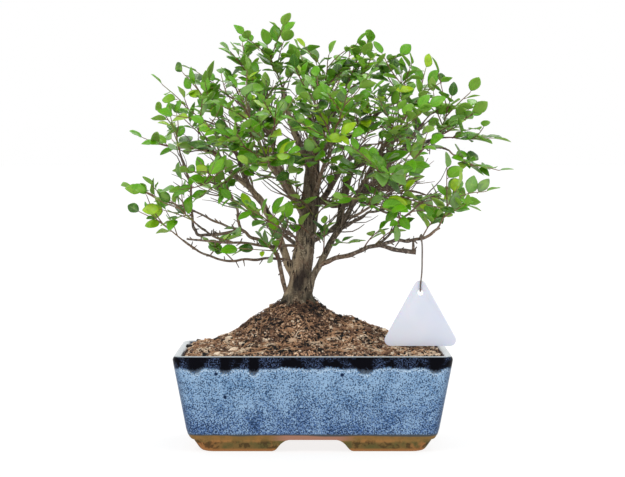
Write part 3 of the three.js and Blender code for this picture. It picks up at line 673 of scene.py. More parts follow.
# Wood: centre and radius of the trunk at each height, then the limbs, all in millimetres
trunk = {
    "path": [
        (-11, 0, 92, 8), (-11, 0, 100, 8), (-11, 0, 112, 7.7), (-9.5, 0, 123, 7.4), (-8, 0, 135, 7.4),
        (-5, 0, 157, 7.1), (-2.5, 0, 176, 6.9), (-1, 0, 192, 6.4), (0, 0, 207, 5.4), (1, 1, 220, 4),
    ],
    "strands": [205, 243, 318, 10, 85, 145], "strandTwist": 30, "strandRadius": (3.3, 2.2),
    "roots": [(200, 9), (235, 8), (290, 7), (335, 9), (30, 9), (95, 8), (150, 9)],  # heading and reach
    "rootRadius": [2.4, 3.2, 3.1, 2.2, 1.2],
    "thickBase": 2.4, "voxel": 0.7, "forkBias": 1.7, "shortestTwig": 34, "innerFork": 16,
    "crownCentre": (0, 0, 195), "crownSize": (116, 78, 90),
    "bareTwigs": 7, "twigSpacing": 2.8, "bareLength": (16, 46), "spurLength": (3, 7),
    "bareRadius": (0.4, 0.72), "spursFrom": 128, "bareFrom": 154, "fullFrom": 174, "openReach": 24,
    "dent": (-8.5, -9, 122), "dentReach": 8, "dentDepth": 3,
    # In metres and radians: the middle of the painted shade in the hollow and how far it leans
    "hollow": (-0.0093, -0.008, 0.1235), "lean": -0.42,
}
bark = {
    "dark": "#54483b", "light": "#a09078", "stain": "#6b4632", "scurf": "#bfb096", "limb": "#4d3d33",
    # Two of these colours are painted shade, for the trunk's right side and for its hollow
    "pale": "#b6a184", "paintedShade": "#3f342b", "moss": "#2f2d1f", "crack": "#1f1813", "hollow": "#1f130f",
    "twig": "#4f433b", "twigLayers": [(26, 0.38, 0.62, "#7e6652"), (420, 0.48, 0.68, "#958678"),
                                      (700, 0.44, 0.34, "#271e1b")],
    "shoot": "#7c6448", "shootLayers": [(40, 0.4, 0.6, "#6d4536"), (90, 0.52, 0.66, "#7d8a3f")],
    # From where to where along x the trunk turns paler, and where painted shade darkens it, in metres
    "strip": (-0.006, -0.016), "paintedShadeStrip": (-0.0085, -0.0015),
}
limbs = [  # radius at the foot and at the tip, and the way between them
    (5, 1.6, [(0, 0, 202), (1, 1, 218), (3, 3, 236), (6, 5, 252), (9, 5, 264)]),
    (3.4, 1.4, [(-1, 1, 203), (-9, 6, 222), (-16, 9, 240), (-20, 9, 255), (-23, 7, 267)]),
    (2.6, 1.3, [(2, 2, 228), (14, 8, 246), (21, 10, 258), (24, 9, 266)]),
    (1.9, 1.3, [(-16, -2, 102), (-19.5, -3, 111), (-22.5, -4, 122), (-24.5, -5, 132), (-27, -6, 142),
                (-34, -8, 150), (-47, -10, 155), (-54, -12, 161)]),
    (1.2, 0.9, [(-54, -12, 161), (-56, -13, 170), (-57, -14, 178), (-61, -15, 186), (-70, -17, 193)]),
    (1.3, 0.9, [(-54, -12, 161), (-60, -13, 159), (-72, -15, 157), (-86, -16, 157), (-89, -16, 162),
                (-90, -15, 171), (-91, -14, 186), (-91, -13, 196), (-97, -12, 211)]),
    (1, 0.8, [(-54, -12, 161), (-62, -8, 162), (-75, -4, 167), (-89, 0, 174)]),
    (1.1, 0.8, [(-12, 1, 135), (-27, 4, 138), (-43, 8, 137), (-60, 10, 136), (-78, 10, 140),
                (-90, 8, 146), (-98, 6, 152)]),
    (1.1, 0.8, [(-8, -3, 147), (-26, -9, 148), (-46, -14, 150), (-60, -18, 151), (-72, -20, 152),
                (-84, -21, 153), (-94, -21, 154)]),
    (1, 0.8, [(-60, -18, 151), (-70, -18, 154), (-80, -19, 160)]),
    (3.3, 1.5, [(-12, 3, 120), (-19, 5, 134), (-23, 6, 147), (-28, 7, 160), (-36, 8, 175), (-40, 9, 183),
                (-48, 10, 192), (-58, 11, 200), (-69, 12, 211), (-75, 12, 218), (-84, 11, 221),
                (-92, 9, 224)]),
    (2.5, 1.3, [(-5, -2, 174), (-14, -4, 186), (-19, -5, 196), (-27, -6, 212), (-31, -7, 230),
                (-34, -6, 244), (-37, -5, 254)]),
    (1.2, 0.8, [(-31, -7, 230), (-40, -12, 231), (-52, -16, 231), (-64, -18, 236)]),
    (2, 1.1, [(-48, 10, 192), (-56, 4, 214), (-64, 0, 232), (-68, -2, 244)]),
    (1.3, 0.9, [(-31, -7, 230), (-42, -2, 240), (-51, 2, 250), (-55, 2, 260)]),
    (3.1, 1.7, [(-6, -3, 102), (-3, -5, 114), (0, -7, 125), (7, -9, 138), (12, -11, 148), (20, -13, 161),
                (26, -16, 172), (32, -20, 183), (42, -28, 204), (52, -38, 222)]),
    (1.9, 1.1, [(3, -8, 132), (12, -12, 137), (19, -16, 140), (28, -21, 142), (37, -26, 146),
                (45, -31, 149), (53, -36, 151), (62, -39, 154), (70, -42, 153), (80, -43, 155),
                (87, -45, 158.5), (93, -47, 163)]),
    (1.4, 2.1, [(48, -33, 150), (59, -38, 147), (67, -41, 146), (76, -42, 145)]),
    (1.1, 1, [(74, -42, 145), (74, -42.5, 149), (74, -42.5, 154)]),
    (2.9, 1.5, [(-2, 3, 182), (6, 5, 182), (15, 7, 179), (24, 8, 179), (31, 8, 182), (36, 8, 188),
                (50, 8, 197), (55, 8, 203), (56, 7, 212), (57, 6, 221), (56, 4, 229)]),
    (2.8, 2, [(18, -12, 160), (22, -8, 178), (26, -6, 196), (30, -5, 207), (41, -6, 212),
              (50, -8, 216), (63, -10, 217)]),
    (2.1, 1.8, [(50, 8, 197), (55, 6, 193), (60, 4, 189.5)]),
    (3.3, 1.6, [(-1, 0, 206), (8, -5, 222), (17, -9, 228), (25, -12, 230), (35, -14, 233),
                (43, -14, 240), (51, -13, 250)]),
    (1.3, 0.9, [(-1, -6, 155), (12, -16, 159), (22, -21, 163), (30, -25, 167), (41, -30, 174),
                (51, -33, 176), (62, -36, 182)]),
    (1, 0.8, [(45, -31, 149), (53, -33, 154), (63, -32, 167), (80, -30, 181), (88, -28, 188)]),
    (1.1, 0.8, [(36, 8, 188), (48, 14, 190), (60, 18, 190), (74, 21, 189)]),
    (1, 0.8, [(31, 8, 182), (44, 16, 183), (58, 24, 183)]),
    (1.1, 0.8, [(31, 8, 182), (45, 2, 178), (58, -2, 172), (70, -4, 168)]),
    (1.6, 1, [(57, 6, 221), (64, 4, 234), (68, 3, 244)]),
    (1.8, 1.1, [(56, 7, 212), (68, 10, 219), (80, 10, 223), (91, 8, 228)]),
    (1.1, 0.9, [(80, 10, 223), (88, 6, 222), (96, 3, 222)]),
    (1.2, 0.9, [(68, 10, 219), (76, 13, 230), (83, 14, 240)]),
    (2.6, 1.3, [(-6, 4, 168), (-20, 24, 190), (-30, 38, 204), (-36, 46, 212)]),
    (2.6, 1.3, [(1, 4, 176), (18, 26, 200), (28, 40, 213), (34, 48, 220)]),
    (2.2, 1.2, [(0, 3, 192), (2, 26, 220), (1, 40, 234), (0, 48, 242)]),
    (1.9, 1.1, [(-8, 6, 146), (-28, 30, 160), (-50, 52, 172)]),
    (1.9, 1.1, [(-2, 5, 150), (22, 28, 166), (44, 50, 176)]),
    (1.9, 1.1, [(-5, -4, 170), (-20, -26, 194), (-31, -46, 210)]),
    (1.9, 1.1, [(0, -4, 184), (8, -28, 208), (13, -48, 225)]),
    (1.1, 0.9, [(-7, -6, 146), (-13, -22, 155), (-20, -36, 160)]),
    (1.2, 0.9, [(32, -20, 183), (44, -34, 190), (54, -44, 197)]),
]
sprayTips = [  # round the crown's outline, then over the front and the back
    (-127, -6, 189), (-121, 2, 171), (-104, -34, 182), (-113, 24, 224), (-106, -14, 244),
    (-97, 18, 258), (-88, -6, 269), (-75, 14, 271), (-55, -2, 290), (-34, -6, 297),
    (-11, 10, 286), (12, -13, 291), (34, 14, 291), (48, -4, 283), (66, -8, 278),
    (86, 8, 269), (104, -4, 259), (119, 14, 246), (128, -4, 230), (121, -16, 208),
    (112, 8, 181), (105, -58, 192), (92, 34, 172),
    (-84, -58, 196), (-62, -74, 230), (-88, -50, 248), (-54, -58, 264), (-32, -86, 212),
    (-26, -80, 252), (-6, -58, 272), (8, -90, 232), (26, -74, 262), (46, -84, 208),
    (62, -64, 248), (84, -62, 224), (40, -74, 180), (-42, -68, 176), (-36, -30, 152),
    (-84, 60, 204), (-62, 74, 226), (-50, 62, 256), (-24, 87, 214), (-8, 80, 248),
    (20, 60, 272), (24, 88, 222), (48, 84, 244), (84, 64, 232), (66, 84, 196),
]
innerTips = [  # inside the crown: where the main shoot of each spray ends, then its side shoots
    [(-68, -24, 206), (-90, -30, 204), (-46, -30, 210), (-58, -44, 184), (-82, -44, 186)],
    [(-47, -36, 236), (-74, -22, 250), (-28, -36, 248), (-40, -44, 214), (-66, -34, 226)],
    [(0, -50, 218), (-16, -46, 204), (22, -44, 206), (14, -38, 246), (-8, -40, 240)],
    [(40, -28, 254), (14, -34, 258), (64, -22, 256), (54, -36, 234), (28, -40, 236)],
    [(66, -50, 190), (30, -50, 184), (74, -34, 212), (62, -60, 166), (92, -58, 178)],
]
sprayCount = len(sprayTips) + len(innerTips)


def forkFor(tip, shortest, paths):  # the best fork for a twig to the tip, and the way it grows there
    best = (math.inf, None, None, 0)
    for path in paths:
        for i in range(1, len(path)):
            growth = (Vector(path[min(i + 1, len(path) - 1)]) - Vector(path[i - 1])).normalized()
            reach = tip - Vector(path[i])
            distance = reach.length
            cost = distance * trunk["forkBias"] - reach.dot(growth)
            if distance > shortest and cost < best[0]:
                best = (cost, Vector(path[i]), growth, distance)
    return best[1:]


def cutCurve(points, start, end):  # the stretch of a cubic curve between two places on it
    def corner(first, second, third):
        step = [points[i].lerp(points[i + 1], first) for i in range(3)]
        following = [step[i].lerp(step[i + 1], second) for i in range(2)]
        return following[0].lerp(following[1], third)

    return [corner(start, start, start), corner(start, start, end), corner(start, end, end),
            corner(end, end, end)]


def pointsAlong(points, steps):  # points at equal lengths along a cubic curve
    fine = [cutCurve(points, i / 60, i / 60)[0] for i in range(61)]
    lengths = [0]
    for start, end in zip(fine, fine[1:]):
        lengths.append(lengths[-1] + (end - start).length)
    spaced, i = [fine[0]], 1
    for step in range(1, steps):
        wanted = lengths[-1] * step / steps
        while lengths[i] < wanted:
            i += 1
        spaced.append(fine[i - 1].lerp(fine[i], (wanted - lengths[i - 1]) / (lengths[i] - lengths[i - 1])))
    return spaced + [fine[-1]]


def twigPoints(index):
    inner = index >= len(sprayTips)
    tip = Vector(innerTips[index - len(sprayTips)][0] if inner else sprayTips[index])
    shortest = trunk["innerFork" if inner else "shortestTwig"]
    point, growth, distance = forkFor(tip, shortest, [path for _, _, path in limbs])
    outward = (tip - Vector(trunk["crownCentre"])).normalized()
    ending = (tip - point).normalized() + outward * 0.4
    ending.z += 0.35
    ending.normalize()
    points = [point, point + growth * distance * 0.28, tip - ending * distance * 0.34, tip]
    return points, 1 - min(44 / distance, 0.72), outward


def makeBarkMaterial():
    material, place = startMaterial("bark")
    beside, height, long = place.axis(0), place.axis(2), place.scaled((1, 1, 0.22))
    base = long.grain(330, 0.36, 0.66).between(bark["dark"], bark["light"])
    base = (place.grain(60, 0.45, 0.7) * 0.6).between(base, bark["stain"])
    base = (place.grain(850, 0.54, 0.64) * 0.8).between(base, bark["scurf"])
    base = (height.stretch(0.145, 0.19) * 0.5).between(base, bark["limb"])
    # The trunk is paler on the left and darker on the right with painted shade, and its foot is dark and
    # mossy
    pale = beside.stretch(*bark["strip"]) * long.grain(260, 0.35, 0.55) * height.stretch(0.108, 0.118)
    base = (pale * 0.7).between(base, bark["pale"])
    paintedShade = beside.stretch(*bark["paintedShadeStrip"]) * long.grain(300, 0.3, 0.6)
    base = (paintedShade * 0.5).between(base, bark["paintedShade"])
    moss = height.stretch(0.12, 0.106) * place.grain(140, 0.3, 0.5)
    base = (moss * 0.85).between(base, bark["moss"])
    base = long.grain(500, 0.465, 0.345).between(base, bark["crack"])
    # Painted shade darkens the hollow in the trunk, leaning with it
    hollow = place.into("ShaderNodeVectorMath", {0: place, 1: trunk["hollow"]}, operation="SUBTRACT")
    leaned = hollow.into("ShaderNodeVectorRotate", {"Vector": hollow, "Angle": trunk["lean"]},
                         rotation_type="Y_AXIS").scaled((1.35, 1, 0.62))
    away = leaned.into("ShaderNodeVectorMath", {0: leaned}, "Value", operation="LENGTH")
    away = away + long.noise(260) * 0.009
    base = (away.stretch(0.0155, 0.0072) * 0.92).between(base, bark["hollow"])
    inputs = {"Base Color": base, "Roughness": 0.85, "Normal": long.relief(420, 0.0011)}
    return finishMaterial(material, inputs)


def wobbled(path, key, amount):  # the given points with bent middles between them
    points = []
    for i, (start, end) in enumerate(zip(path, path[1:])):
        start, end = Vector(start), Vector(end)
        offset = Vector([draw(key, i, axis) - 0.5 for axis in (1, 2, 3)])
        points += [start, start.lerp(end, 0.5) + offset * (end - start).length * amount]
    return points + [Vector(path[-1])]


def taper(count, base, tip, key):
    return [mix((base, tip), i / (count - 1)) * (1 + (0.12 if i % 2 == 0 else -0.06) * draw(key, i, 5))
            for i in range(count)]


def makeTrunk(material):
    curve = newCurve(16, 5)
    path = trunk["path"]
    addSpline(curve, [level[:3] for level in path], [level[3] for level in path])
    for number, start in enumerate(trunk["strands"]):
        points, radii = [], []
        for level, (x, y, z, radius) in enumerate(path):
            share = level / (len(path) - 1)
            angle = math.radians(start + trunk["strandTwist"] * share + 10 * math.sin(3 * share + number))
            out = radius * (0.86 - 0.3 * share)
            points.append((x + out * math.cos(angle), y + out * math.sin(angle), z))
            radii.append(mix(trunk["strandRadius"], share) * (0.85 + 0.3 * draw(number, level, 6)))
        addSpline(curve, points, radii)
    for degrees, reach in trunk["roots"]:
        angle = math.radians(degrees)
        levels = ((5.4, 119), (8.7, 110.5), (reach + 3.4, 103.5), (reach + 8, 97), (reach + 16, 90))
        points = [(soil["trunkX"] + out * math.cos(angle), out * math.sin(angle), height)
                  for out, height in levels]
        addSpline(curve, points, trunk["rootRadius"])
    addLimbs(curve, True, 0.09, 1)
    remesh = ("REMESH", {"mode": "VOXEL", "voxel_size": trunk["voxel"] * mm})
    bm = bmesh.new()
    bm.from_mesh(evaluatedMesh(evaluatedMesh(curve), [remesh]))
    for _ in range(2):
        bmesh.ops.smooth_vert(bm, verts=bm.verts, factor=0.5, use_axis_x=True, use_axis_y=True,
                              use_axis_z=True)
    bm.normal_update()
    dent = Vector(trunk["dent"]) * mm
    for vert in bm.verts:
        spot = vert.co / mm
        ridges = noise.noise(Vector((spot.x * 0.5, spot.y * 0.5, spot.z * 0.09))) * 0.55
        pits = noise.noise(spot * 0.9) * 0.25
        size = min(max(12 - abs(spot.x + 6) * 0.4, 3) / 10, 1)
        vert.co += vert.normal * (ridges + pits) * size * mm
        near = (vert.co - dent).length / mm
        if near < trunk["dentReach"]:
            vert.co.y += trunk["dentDepth"] * (1 - near / trunk["dentReach"]) ** 1.3 * mm
    addPiece("trunkWood", meshFrom(bm, "trunkWood", 180), [material], ["trunk"])


def addLimbs(curve, thick, bend, tipShare):
    for key, (base, tip, path) in enumerate(limbs):
        if (base > trunk["thickBase"]) == thick:
            points = wobbled(path, key, bend)
            addSpline(curve, points, taper(len(points), base, tip * tipShare, key))


def makeTwigs(material):
    curve = newCurve(8, 4)
    addLimbs(curve, False, 0.12, 0.85)
    for key in range(sprayCount):
        points, split, _ = twigPoints(key)
        points = wobbled(pointsAlong(cutCurve(points, 0, split), 4), key + 60, 0.13)
        addSpline(curve, points, taper(len(points), 0.95, 0.62, key))
    addPiece("twigWood", smoothMesh(curve), [material])


def insideCrown(point):
    parts = zip(point, trunk["crownCentre"], trunk["crownSize"])
    return math.hypot(*[(part - middle) / size for part, middle, size in parts]) < 1


def bareTwig(start, before, key, spur):  # points of a crooked twig that leaves a limb between two points
    growth = (start - before).normalized()
    outward = (start - Vector((0, 0, 150))).normalized()
    random = Vector([draw(key, axis, 11) - 0.5 for axis in range(3)])
    heading = growth * 0.3 + outward * (0.2 if spur else 0.9) + random * (2 if spur else 1.5)
    if not spur:
        heading.z = abs(heading.z) + 0.2
    heading.normalize()
    steps = 1 if spur else 3
    length = mix(trunk["spurLength" if spur else "bareLength"], draw(key, 12) ** 1.4)
    points = [start.lerp(before, draw(key, 14) * 0.95)]
    for step in range(steps):
        turn = Vector([draw(key, axis, 15, step) - 0.5 for axis in range(3)]) * (0.2 if spur else 0.7)
        points.append(points[-1] + (heading + turn).normalized() * length / steps)
    return points


def makeBareTwigs(material):  # crooked bare twigs inside the crown, and short spurs on every limb
    curve = newCurve(6, 2)
    key = 200
    for _, _, path in limbs:
        for before, start in zip(path, path[1:]):
            before, start = Vector(before), Vector(start)
            count = min(round((start - before).length / trunk["twigSpacing"]), trunk["bareTwigs"])
            for spare in range(count + 2):
                key += 1
                spur = spare < 2
                points = bareTwig(start, before, key, spur)
                lowest = trunk["fullFrom" if abs(points[0].x) > trunk["openReach"] else "bareFrom"]
                if points[0].z < (trunk["spursFrom"] if spur else lowest) or not insideCrown(points[-1]):
                    continue
                thick = mix(trunk["bareRadius"], draw(key, 16))
                shares = (1, 0.6) if spur else (1, 0.85, 0.65, 0.4)
                addSpline(curve, points, [thick * share for share in shares])
    addPiece("bareTwigs", smoothMesh(curve), [material])


twigMaterial = makeLayered("twigBark", bark["twig"], bark["twigLayers"], 0.75, (600, 0.0005))
shootMaterial = makeLayered("youngShoots", bark["shoot"], bark["shootLayers"], 0.6, (500, 0.0003))
makeTrunk(makeBarkMaterial())
makeTwigs(twigMaterial)
makeBareTwigs(twigMaterial)
print("wood")

# Leafy sprays
spray = {
    "sideShoots": [0.18, 0.44, 0.68], "sideLength": (20, 28), "sideAngle": (0.6, 0.95),
    # Where the leaves are on main and side shoots, and more of them, smaller, between those
    "outer": {"main": [0.36, 0.7, 1], "side": [0.5, 1],
              "moreMain": [0.2, 0.53, 0.86], "moreSide": [0.28, 0.76]},
    "middle": {"main": [0.36, 0.7, 1], "side": [0.5, 1],
               "moreMain": [0.1, 0.2, 0.3, 0.53, 0.62, 0.86], "moreSide": [0.16, 0.28, 0.64, 0.76, 0.88]},
    "inner": {"main": [0.45, 0.72, 1], "side": [0.45, 0.72, 1],
              "moreMain": [0.25, 0.58, 0.86], "moreSide": [0.14, 0.28, 0.58, 0.87]},
    "middleReach": 82, "middleFrom": 196, "thinLeft": -70, "thinShare": 0.75,
    "moreSize": (0.54, 1), "moreUp": 0.8,
    "angle": (0.7, 1.15), "out": 0.5, "up": 0.6, "front": 0.25, "turn": 1.7,
}
nearShoots = [  # short leafy shoots close to the trunk and on the low branches: foot, end and leaves
    ((0, -7, 172), (-9, -24, 183), 5), ((2, -7, 170), (14, -25, 182), 6), ((8, -9, 140), (9, -24, 164), 5),
    ((-3, -8, 158), (-16, -22, 166), 4), ((12, -11, 148), (27, -28, 151), 5),
    ((45, -31, 149), (64, -42, 164), 5), ((37, -26, 146), (48, -36, 160), 4),
    ((-60, 10, 136), (-74, 0, 147), 6), ((-78, 10, 140), (-66, 2, 152), 5),
    ((-54, -12, 161), (-62, -24, 158), 5), ((-90, -16, 171), (-104, -20, 168), 5),
    ((80, -43, 155), (90, -48, 170), 5), ((-6, -7, 186), (-20, -26, 198), 6),
    ((4, -6, 196), (18, -26, 204), 6),
    # From the ends of the limbs up into the top of the crown
    ((9, 5, 264), (3, -8, 284), 8), ((9, 5, 264), (21, 0, 281), 8), ((-23, 7, 267), (-31, -4, 285), 8),
    ((-23, 7, 267), (-12, -6, 281), 8), ((24, 9, 266), (37, -4, 277), 8),
    ((-37, -5, 254), (-45, -16, 273), 8), ((-37, -5, 254), (-28, -18, 268), 8),
    ((-55, 2, 260), (-63, -10, 275), 7), ((-68, -2, 244), (-79, -14, 256), 7),
    ((51, -13, 250), (61, -24, 264), 8), ((51, -13, 250), (43, -28, 264), 8),
    ((68, 3, 244), (79, -8, 258), 8), ((83, 14, 240), (94, 0, 250), 7), ((17, -9, 228), (12, -30, 244), 8),
    ((35, -14, 233), (32, -36, 246), 8), ((-31, -7, 230), (-40, -30, 241), 8),
    ((-16, 9, 240), (-12, -14, 256), 8), ((3, 3, 236), (-2, -22, 250), 8),
    ((56, 7, 212), (65, -14, 226), 7), ((-56, 4, 214), (-67, -16, 224), 7),
    ((-69, 12, 211), (-81, -6, 226), 7), ((52, -38, 222), (63, -51, 232), 7),
    ((91, 8, 228), (102, -6, 238), 7), ((26, -6, 196), (32, -30, 210), 7),
    ((-27, -6, 212), (-36, -28, 222), 7), ((-19, -5, 196), (-34, -26, 200), 6),
    ((42, -28, 204), (54, -44, 212), 6),
]
leaf = {
    "length": (13, 18), "breadth": (0.6, 0.72), "point": (0.64, 0.95), "thickness": 0.35, "stalk": 1.6,
    "arch": 0.1, "archSpread": (0.2, 2), "fold": 0.24, "foldSpread": (0.4, 1.6), "ripple": (0.1, 0.6),
    "rib": 0.1, "columns": 8, "rows": 7, "stalkRadius": (0.32, 0.22),
    # Two of these colours are painted light: a greyer reflection of the sky and a pale sheen
    "dark": "#2a5208", "fresh": "#5c9b05", "lime": "#9cbd12", "vein": "#8fb83c", "paintedSkyReflection": "#859d6a",
    "under": "#88a548", "paintedSheen": "#9fc45c",
}


def makeLeafMaterial():
    material, place = startMaterial("leafSurface")
    uv = place.into("ShaderNodeUVMap", {}, uv_map="leaf")
    tint = place.into("ShaderNodeAttribute", {}, "Fac", attribute_name="tint")
    across, along = uv.axis(0), uv.axis(1)
    beneath = across.stretch(1.4, 1.6)
    side = abs(across.maths("FRACT") - 0.5)
    top = tint.stretch(0.05, 0.42).between(leaf["dark"], leaf["fresh"])
    top = tint.stretch(0.72, 1).between(top, leaf["lime"])
    # Painted reflection: some whole leaves are greyer, like leaves that mirror the sky
    top = ((tint * 47).maths("SINE").stretch(0.75, 0.98) * 0.5).between(top, leaf["paintedSkyReflection"])
    top = (place.grain(240, 0.4, 0.65) * 0.25).between(top, leaf["dark"])
    # Painted sheen: pale patches over the top sides
    top = (place.grain(120, 0.52, 0.72) * 0.4).between(top, leaf["paintedSheen"])
    # Side veins leave the midrib at a slant
    veins = ((along - side * 0.55) * 44).maths("SINE").stretch(0.72, 1) * 0.2
    top = veins.between(top, leaf["vein"])
    # A pale edge round the top side: partly the leaf's own margin, partly a painted rim highlight
    top = (side.stretch(0.46, 0.5) * 0.5).between(top, leaf["lime"])
    midrib = side.stretch(0.026, 0.006) * 0.45
    top = midrib.between(top, leaf["vein"])
    under = midrib.between((tint * 0.6).between(leaf["under"], leaf["fresh"]), leaf["vein"])
    height = beneath.valueBetween(1 - veins, veins)
    return finishMaterial(material, {
        "Base Color": beneath.between(top, under), "Roughness": beneath.valueBetween(0.32, 0.55),
        "Normal": height.into("ShaderNodeBump", {"Height": height, "Distance": 0.0004, "Strength": 0.6}),
        "Specular IOR Level": 0.3, "Subsurface Weight": 0.2, "Subsurface Radius": (0.4, 1.0, 0.15),
        "Subsurface Scale": 0.0012,
    })


def placeOn(centres, share):
    step = share * (len(centres) - 1)
    below = min(int(step), len(centres) - 2)
    start, end = centres[below], centres[below + 1]
    return start.lerp(end, step - below), (end - start).normalized()


def leafWidth(share, point):  # widest a little below the middle, from blunt to pointed
    return math.sin(math.pi * share ** 0.88) ** mix(leaf["point"], point)


def addBlade(bm, layers, root, along, face, length, breadth, keys):
    uvLayer, tintLayer = layers
    across = face.cross(along).normalized()
    up = along.cross(across)
    tint, phase, wavy, folded, arched, point = [draw(*keys, last) for last in range(7, 13)]
    phase, ripple = phase * 6, mix(leaf["ripple"], wavy)
    fold = leaf["fold"] * mix(leaf["foldSpread"], folded)
    arch = leaf["arch"] * mix(leaf["archSpread"], arched)
    ball = bmesh.ops.create_uvsphere(bm, u_segments=leaf["columns"], v_segments=leaf["rows"], radius=1)
    made, values = ball["verts"], {}
    for vert in made:
        theta = math.acos(max(-1, min(1, vert.co.z)))
        share = 0.55 * theta / math.pi + 0.45 * (1 - vert.co.z) / 2
        ring = math.hypot(vert.co.x, vert.co.y)
        side, lid = (-vert.co.x / ring, vert.co.y / ring) if ring > 0.01 else (0, 0)
        half = leafWidth(share, point) * breadth * length / 2 if ring > 0.01 else 0
        wave = math.sin(share * 9 + phase + side * 2) * ripple * abs(side) * math.sin(math.pi * share)
        lift = abs(side) * half * fold - arch * length * share * share + wave * 0.7
        rib = leaf["rib"] * (1 - abs(side) * 1.4) if abs(side) < 0.5 else 0
        lift += lid * leaf["thickness"] / 2 - rib * math.sin(math.pi * share)
        vert.co = (root + along * share * length + across * side * half + up * lift) * mm
        vert[tintLayer] = tint
        values[vert] = (side, share, lid)
    for face in {face for vert in made for face in vert.link_faces}:
        lower = sum(values[vert][2] for vert in face.verts) < 0
        for loop in face.loops:
            side, share, _ = values[loop.vert]
            loop[uvLayer].uv = (0.02 + 0.96 * (side + 1) / 2 + (2 if lower else 0), share)
        face.material_index = 1
        face.smooth = True


def addStalk(bm, start, end):
    middle, reach = (start + end) / 2, end - start
    turn = reach.to_track_quat("Z", "Y").to_matrix().to_4x4()
    lower, upper = leaf["stalkRadius"]
    bmesh.ops.create_cone(bm, cap_ends=True, segments=4, radius1=lower * mm, radius2=upper * mm,
                          depth=reach.length * mm, matrix=Matrix.Translation(middle * mm) @ turn)


def addLeafOn(bm, layers, centres, share, side, outward, keys, size=None):
    point, growth = placeOn(centres, share)
    face = outward * spray["out"]
    face.z += spray["up"] + (spray["moreUp"] if size else 0)
    size = size or 1
    face.x += (draw(*keys, 1) - 0.5) * spray["turn"]
    face.y += (draw(*keys, 2) - 0.5) * spray["turn"] - spray["front"]
    face.normalize()
    sideways = growth.cross(face).normalized()
    atTip = share > 0.99
    angle = (draw(*keys, 3) - 0.5) * 0.6 if atTip else mix(spray["angle"], draw(*keys, 3))
    along = growth * math.cos(angle) + sideways * math.sin(angle) * (1 if atTip else side)
    along.z += (draw(*keys, 4) - 0.35) * 0.5
    along.normalize()
    length = mix(leaf["length"], draw(*keys, 5)) * (0.9 if atTip else 1) * size
    breadth = mix(leaf["breadth"], draw(*keys, 6))
    addStalk(bm, point, point + along * (leaf["stalk"] + 0.6))
    addBlade(bm, layers, point + along * leaf["stalk"], along, face, length - leaf["stalk"], breadth, keys)


def sideShoot(centres, share, side, outward, keys):
    point, growth = placeOn(centres, share)
    face = outward * 0.5
    face.z += 0.8
    sideways = growth.cross(face).normalized()
    angle = mix(spray["sideAngle"], draw(*keys, 1))
    leaving = growth * math.cos(angle) + sideways * math.sin(angle) * side
    leaving.z += 0.15
    return [point, point + leaving * mix(spray["sideLength"], draw(*keys, 2))]


def startLeaves(wood):  # a bmesh of the shoot's wood, and the layers that its leaves need
    woodMesh = smoothMesh(wood)
    bm = bmesh.new()
    bm.from_mesh(woodMesh)
    bpy.data.meshes.remove(woodMesh)
    return bm, (bm.loops.layers.uv.new("leaf"), bm.verts.layers.float.new("tint"))


def sprayPlan(index, shoot, outward):  # its kind, the share of its smaller leaves left out, its side shoots
    if index >= len(sprayTips):
        tips = [Vector(tip) for tip in innerTips[index - len(sprayTips)][1:]]
        forks = [[forkFor(tip, trunk["innerFork"], [shoot])[0], tip] for tip in tips]
        return spray["inner"], 0, [(stem, everyOther(i)) for i, stem in enumerate(forks)]
    x, _, z = sprayTips[index]
    middle = abs(x) < spray["middleReach"] and z > spray["middleFrom"]
    dropped = spray["thinShare"] if x < spray["thinLeft"] else 0
    stems = []
    for i, share in enumerate(spray["sideShoots"]):
        side = everyOther(i + index)
        stems.append((sideShoot(shoot, share, side, outward, [index, i + 1, 0]), side))
    return spray["middle" if middle else "outer"], dropped, stems


def makeSpray(name, index, materials, node):
    points, split, outward = twigPoints(index)
    shoot = pointsAlong(cutCurve(points, split, 1), 3)
    kind, dropped, stems = sprayPlan(index, shoot, outward)
    wood = newCurve(6, 3)
    addSpline(wood, wobbled(shoot, index, 0.1), taper(7, 0.62, 0.34, index))
    for i, (stem, _) in enumerate(stems):
        addSpline(wood, wobbled(stem, index + i, 0.12), taper(3, 0.5, 0.3, index + i))
    bm, layers = startLeaves(wood)

    def moreLeaves(stem, shares, side, branch, first, dropKey, sizeKey):
        for k, share in enumerate(shares):
            if draw(index, first + k, dropKey) < dropped:
                continue
            size = mix(spray["moreSize"], draw(index, first + k, sizeKey))
            addLeafOn(bm, layers, stem, share, everyOther(k, side), outward, [index, branch, k], size)

    for i, share in enumerate(kind["main"]):
        addLeafOn(bm, layers, shoot, share, everyOther(i), outward, [index, 0, i])
    moreLeaves(shoot, kind["moreMain"], -1, 30, 0, 34, 31)
    for i, (stem, side) in enumerate(stems):
        for k, share in enumerate(kind["side"]):
            addLeafOn(bm, layers, stem, share, everyOther(k, side), outward, [index, i + 1, k + 1])
        moreLeaves(stem, kind["moreSide"], -side, i + 11, i * 4, 35, 32)
    addPiece(name, meshFrom(bm, name), materials, [node])


def makeNearShoot(name, index, materials):
    foot, end, count = nearShoots[index]
    foot, end = Vector(foot), Vector(end)
    stem = [foot, foot.lerp(end, 0.5) + Vector((0, 0, 1.5)), end]
    wood = newCurve(6, 3)
    addSpline(wood, stem, taper(3, 0.55, 0.3, index))
    bm, layers = startLeaves(wood)
    outward = (end - foot).normalized()
    for k in range(count):
        size = mix(spray["moreSize"], draw(index, k, 33)) + 0.12
        addLeafOn(bm, layers, stem, 1 - k / count * 0.75, everyOther(k), outward, [index, 70, k], size)
    addPiece(name, meshFrom(bm, name), materials)


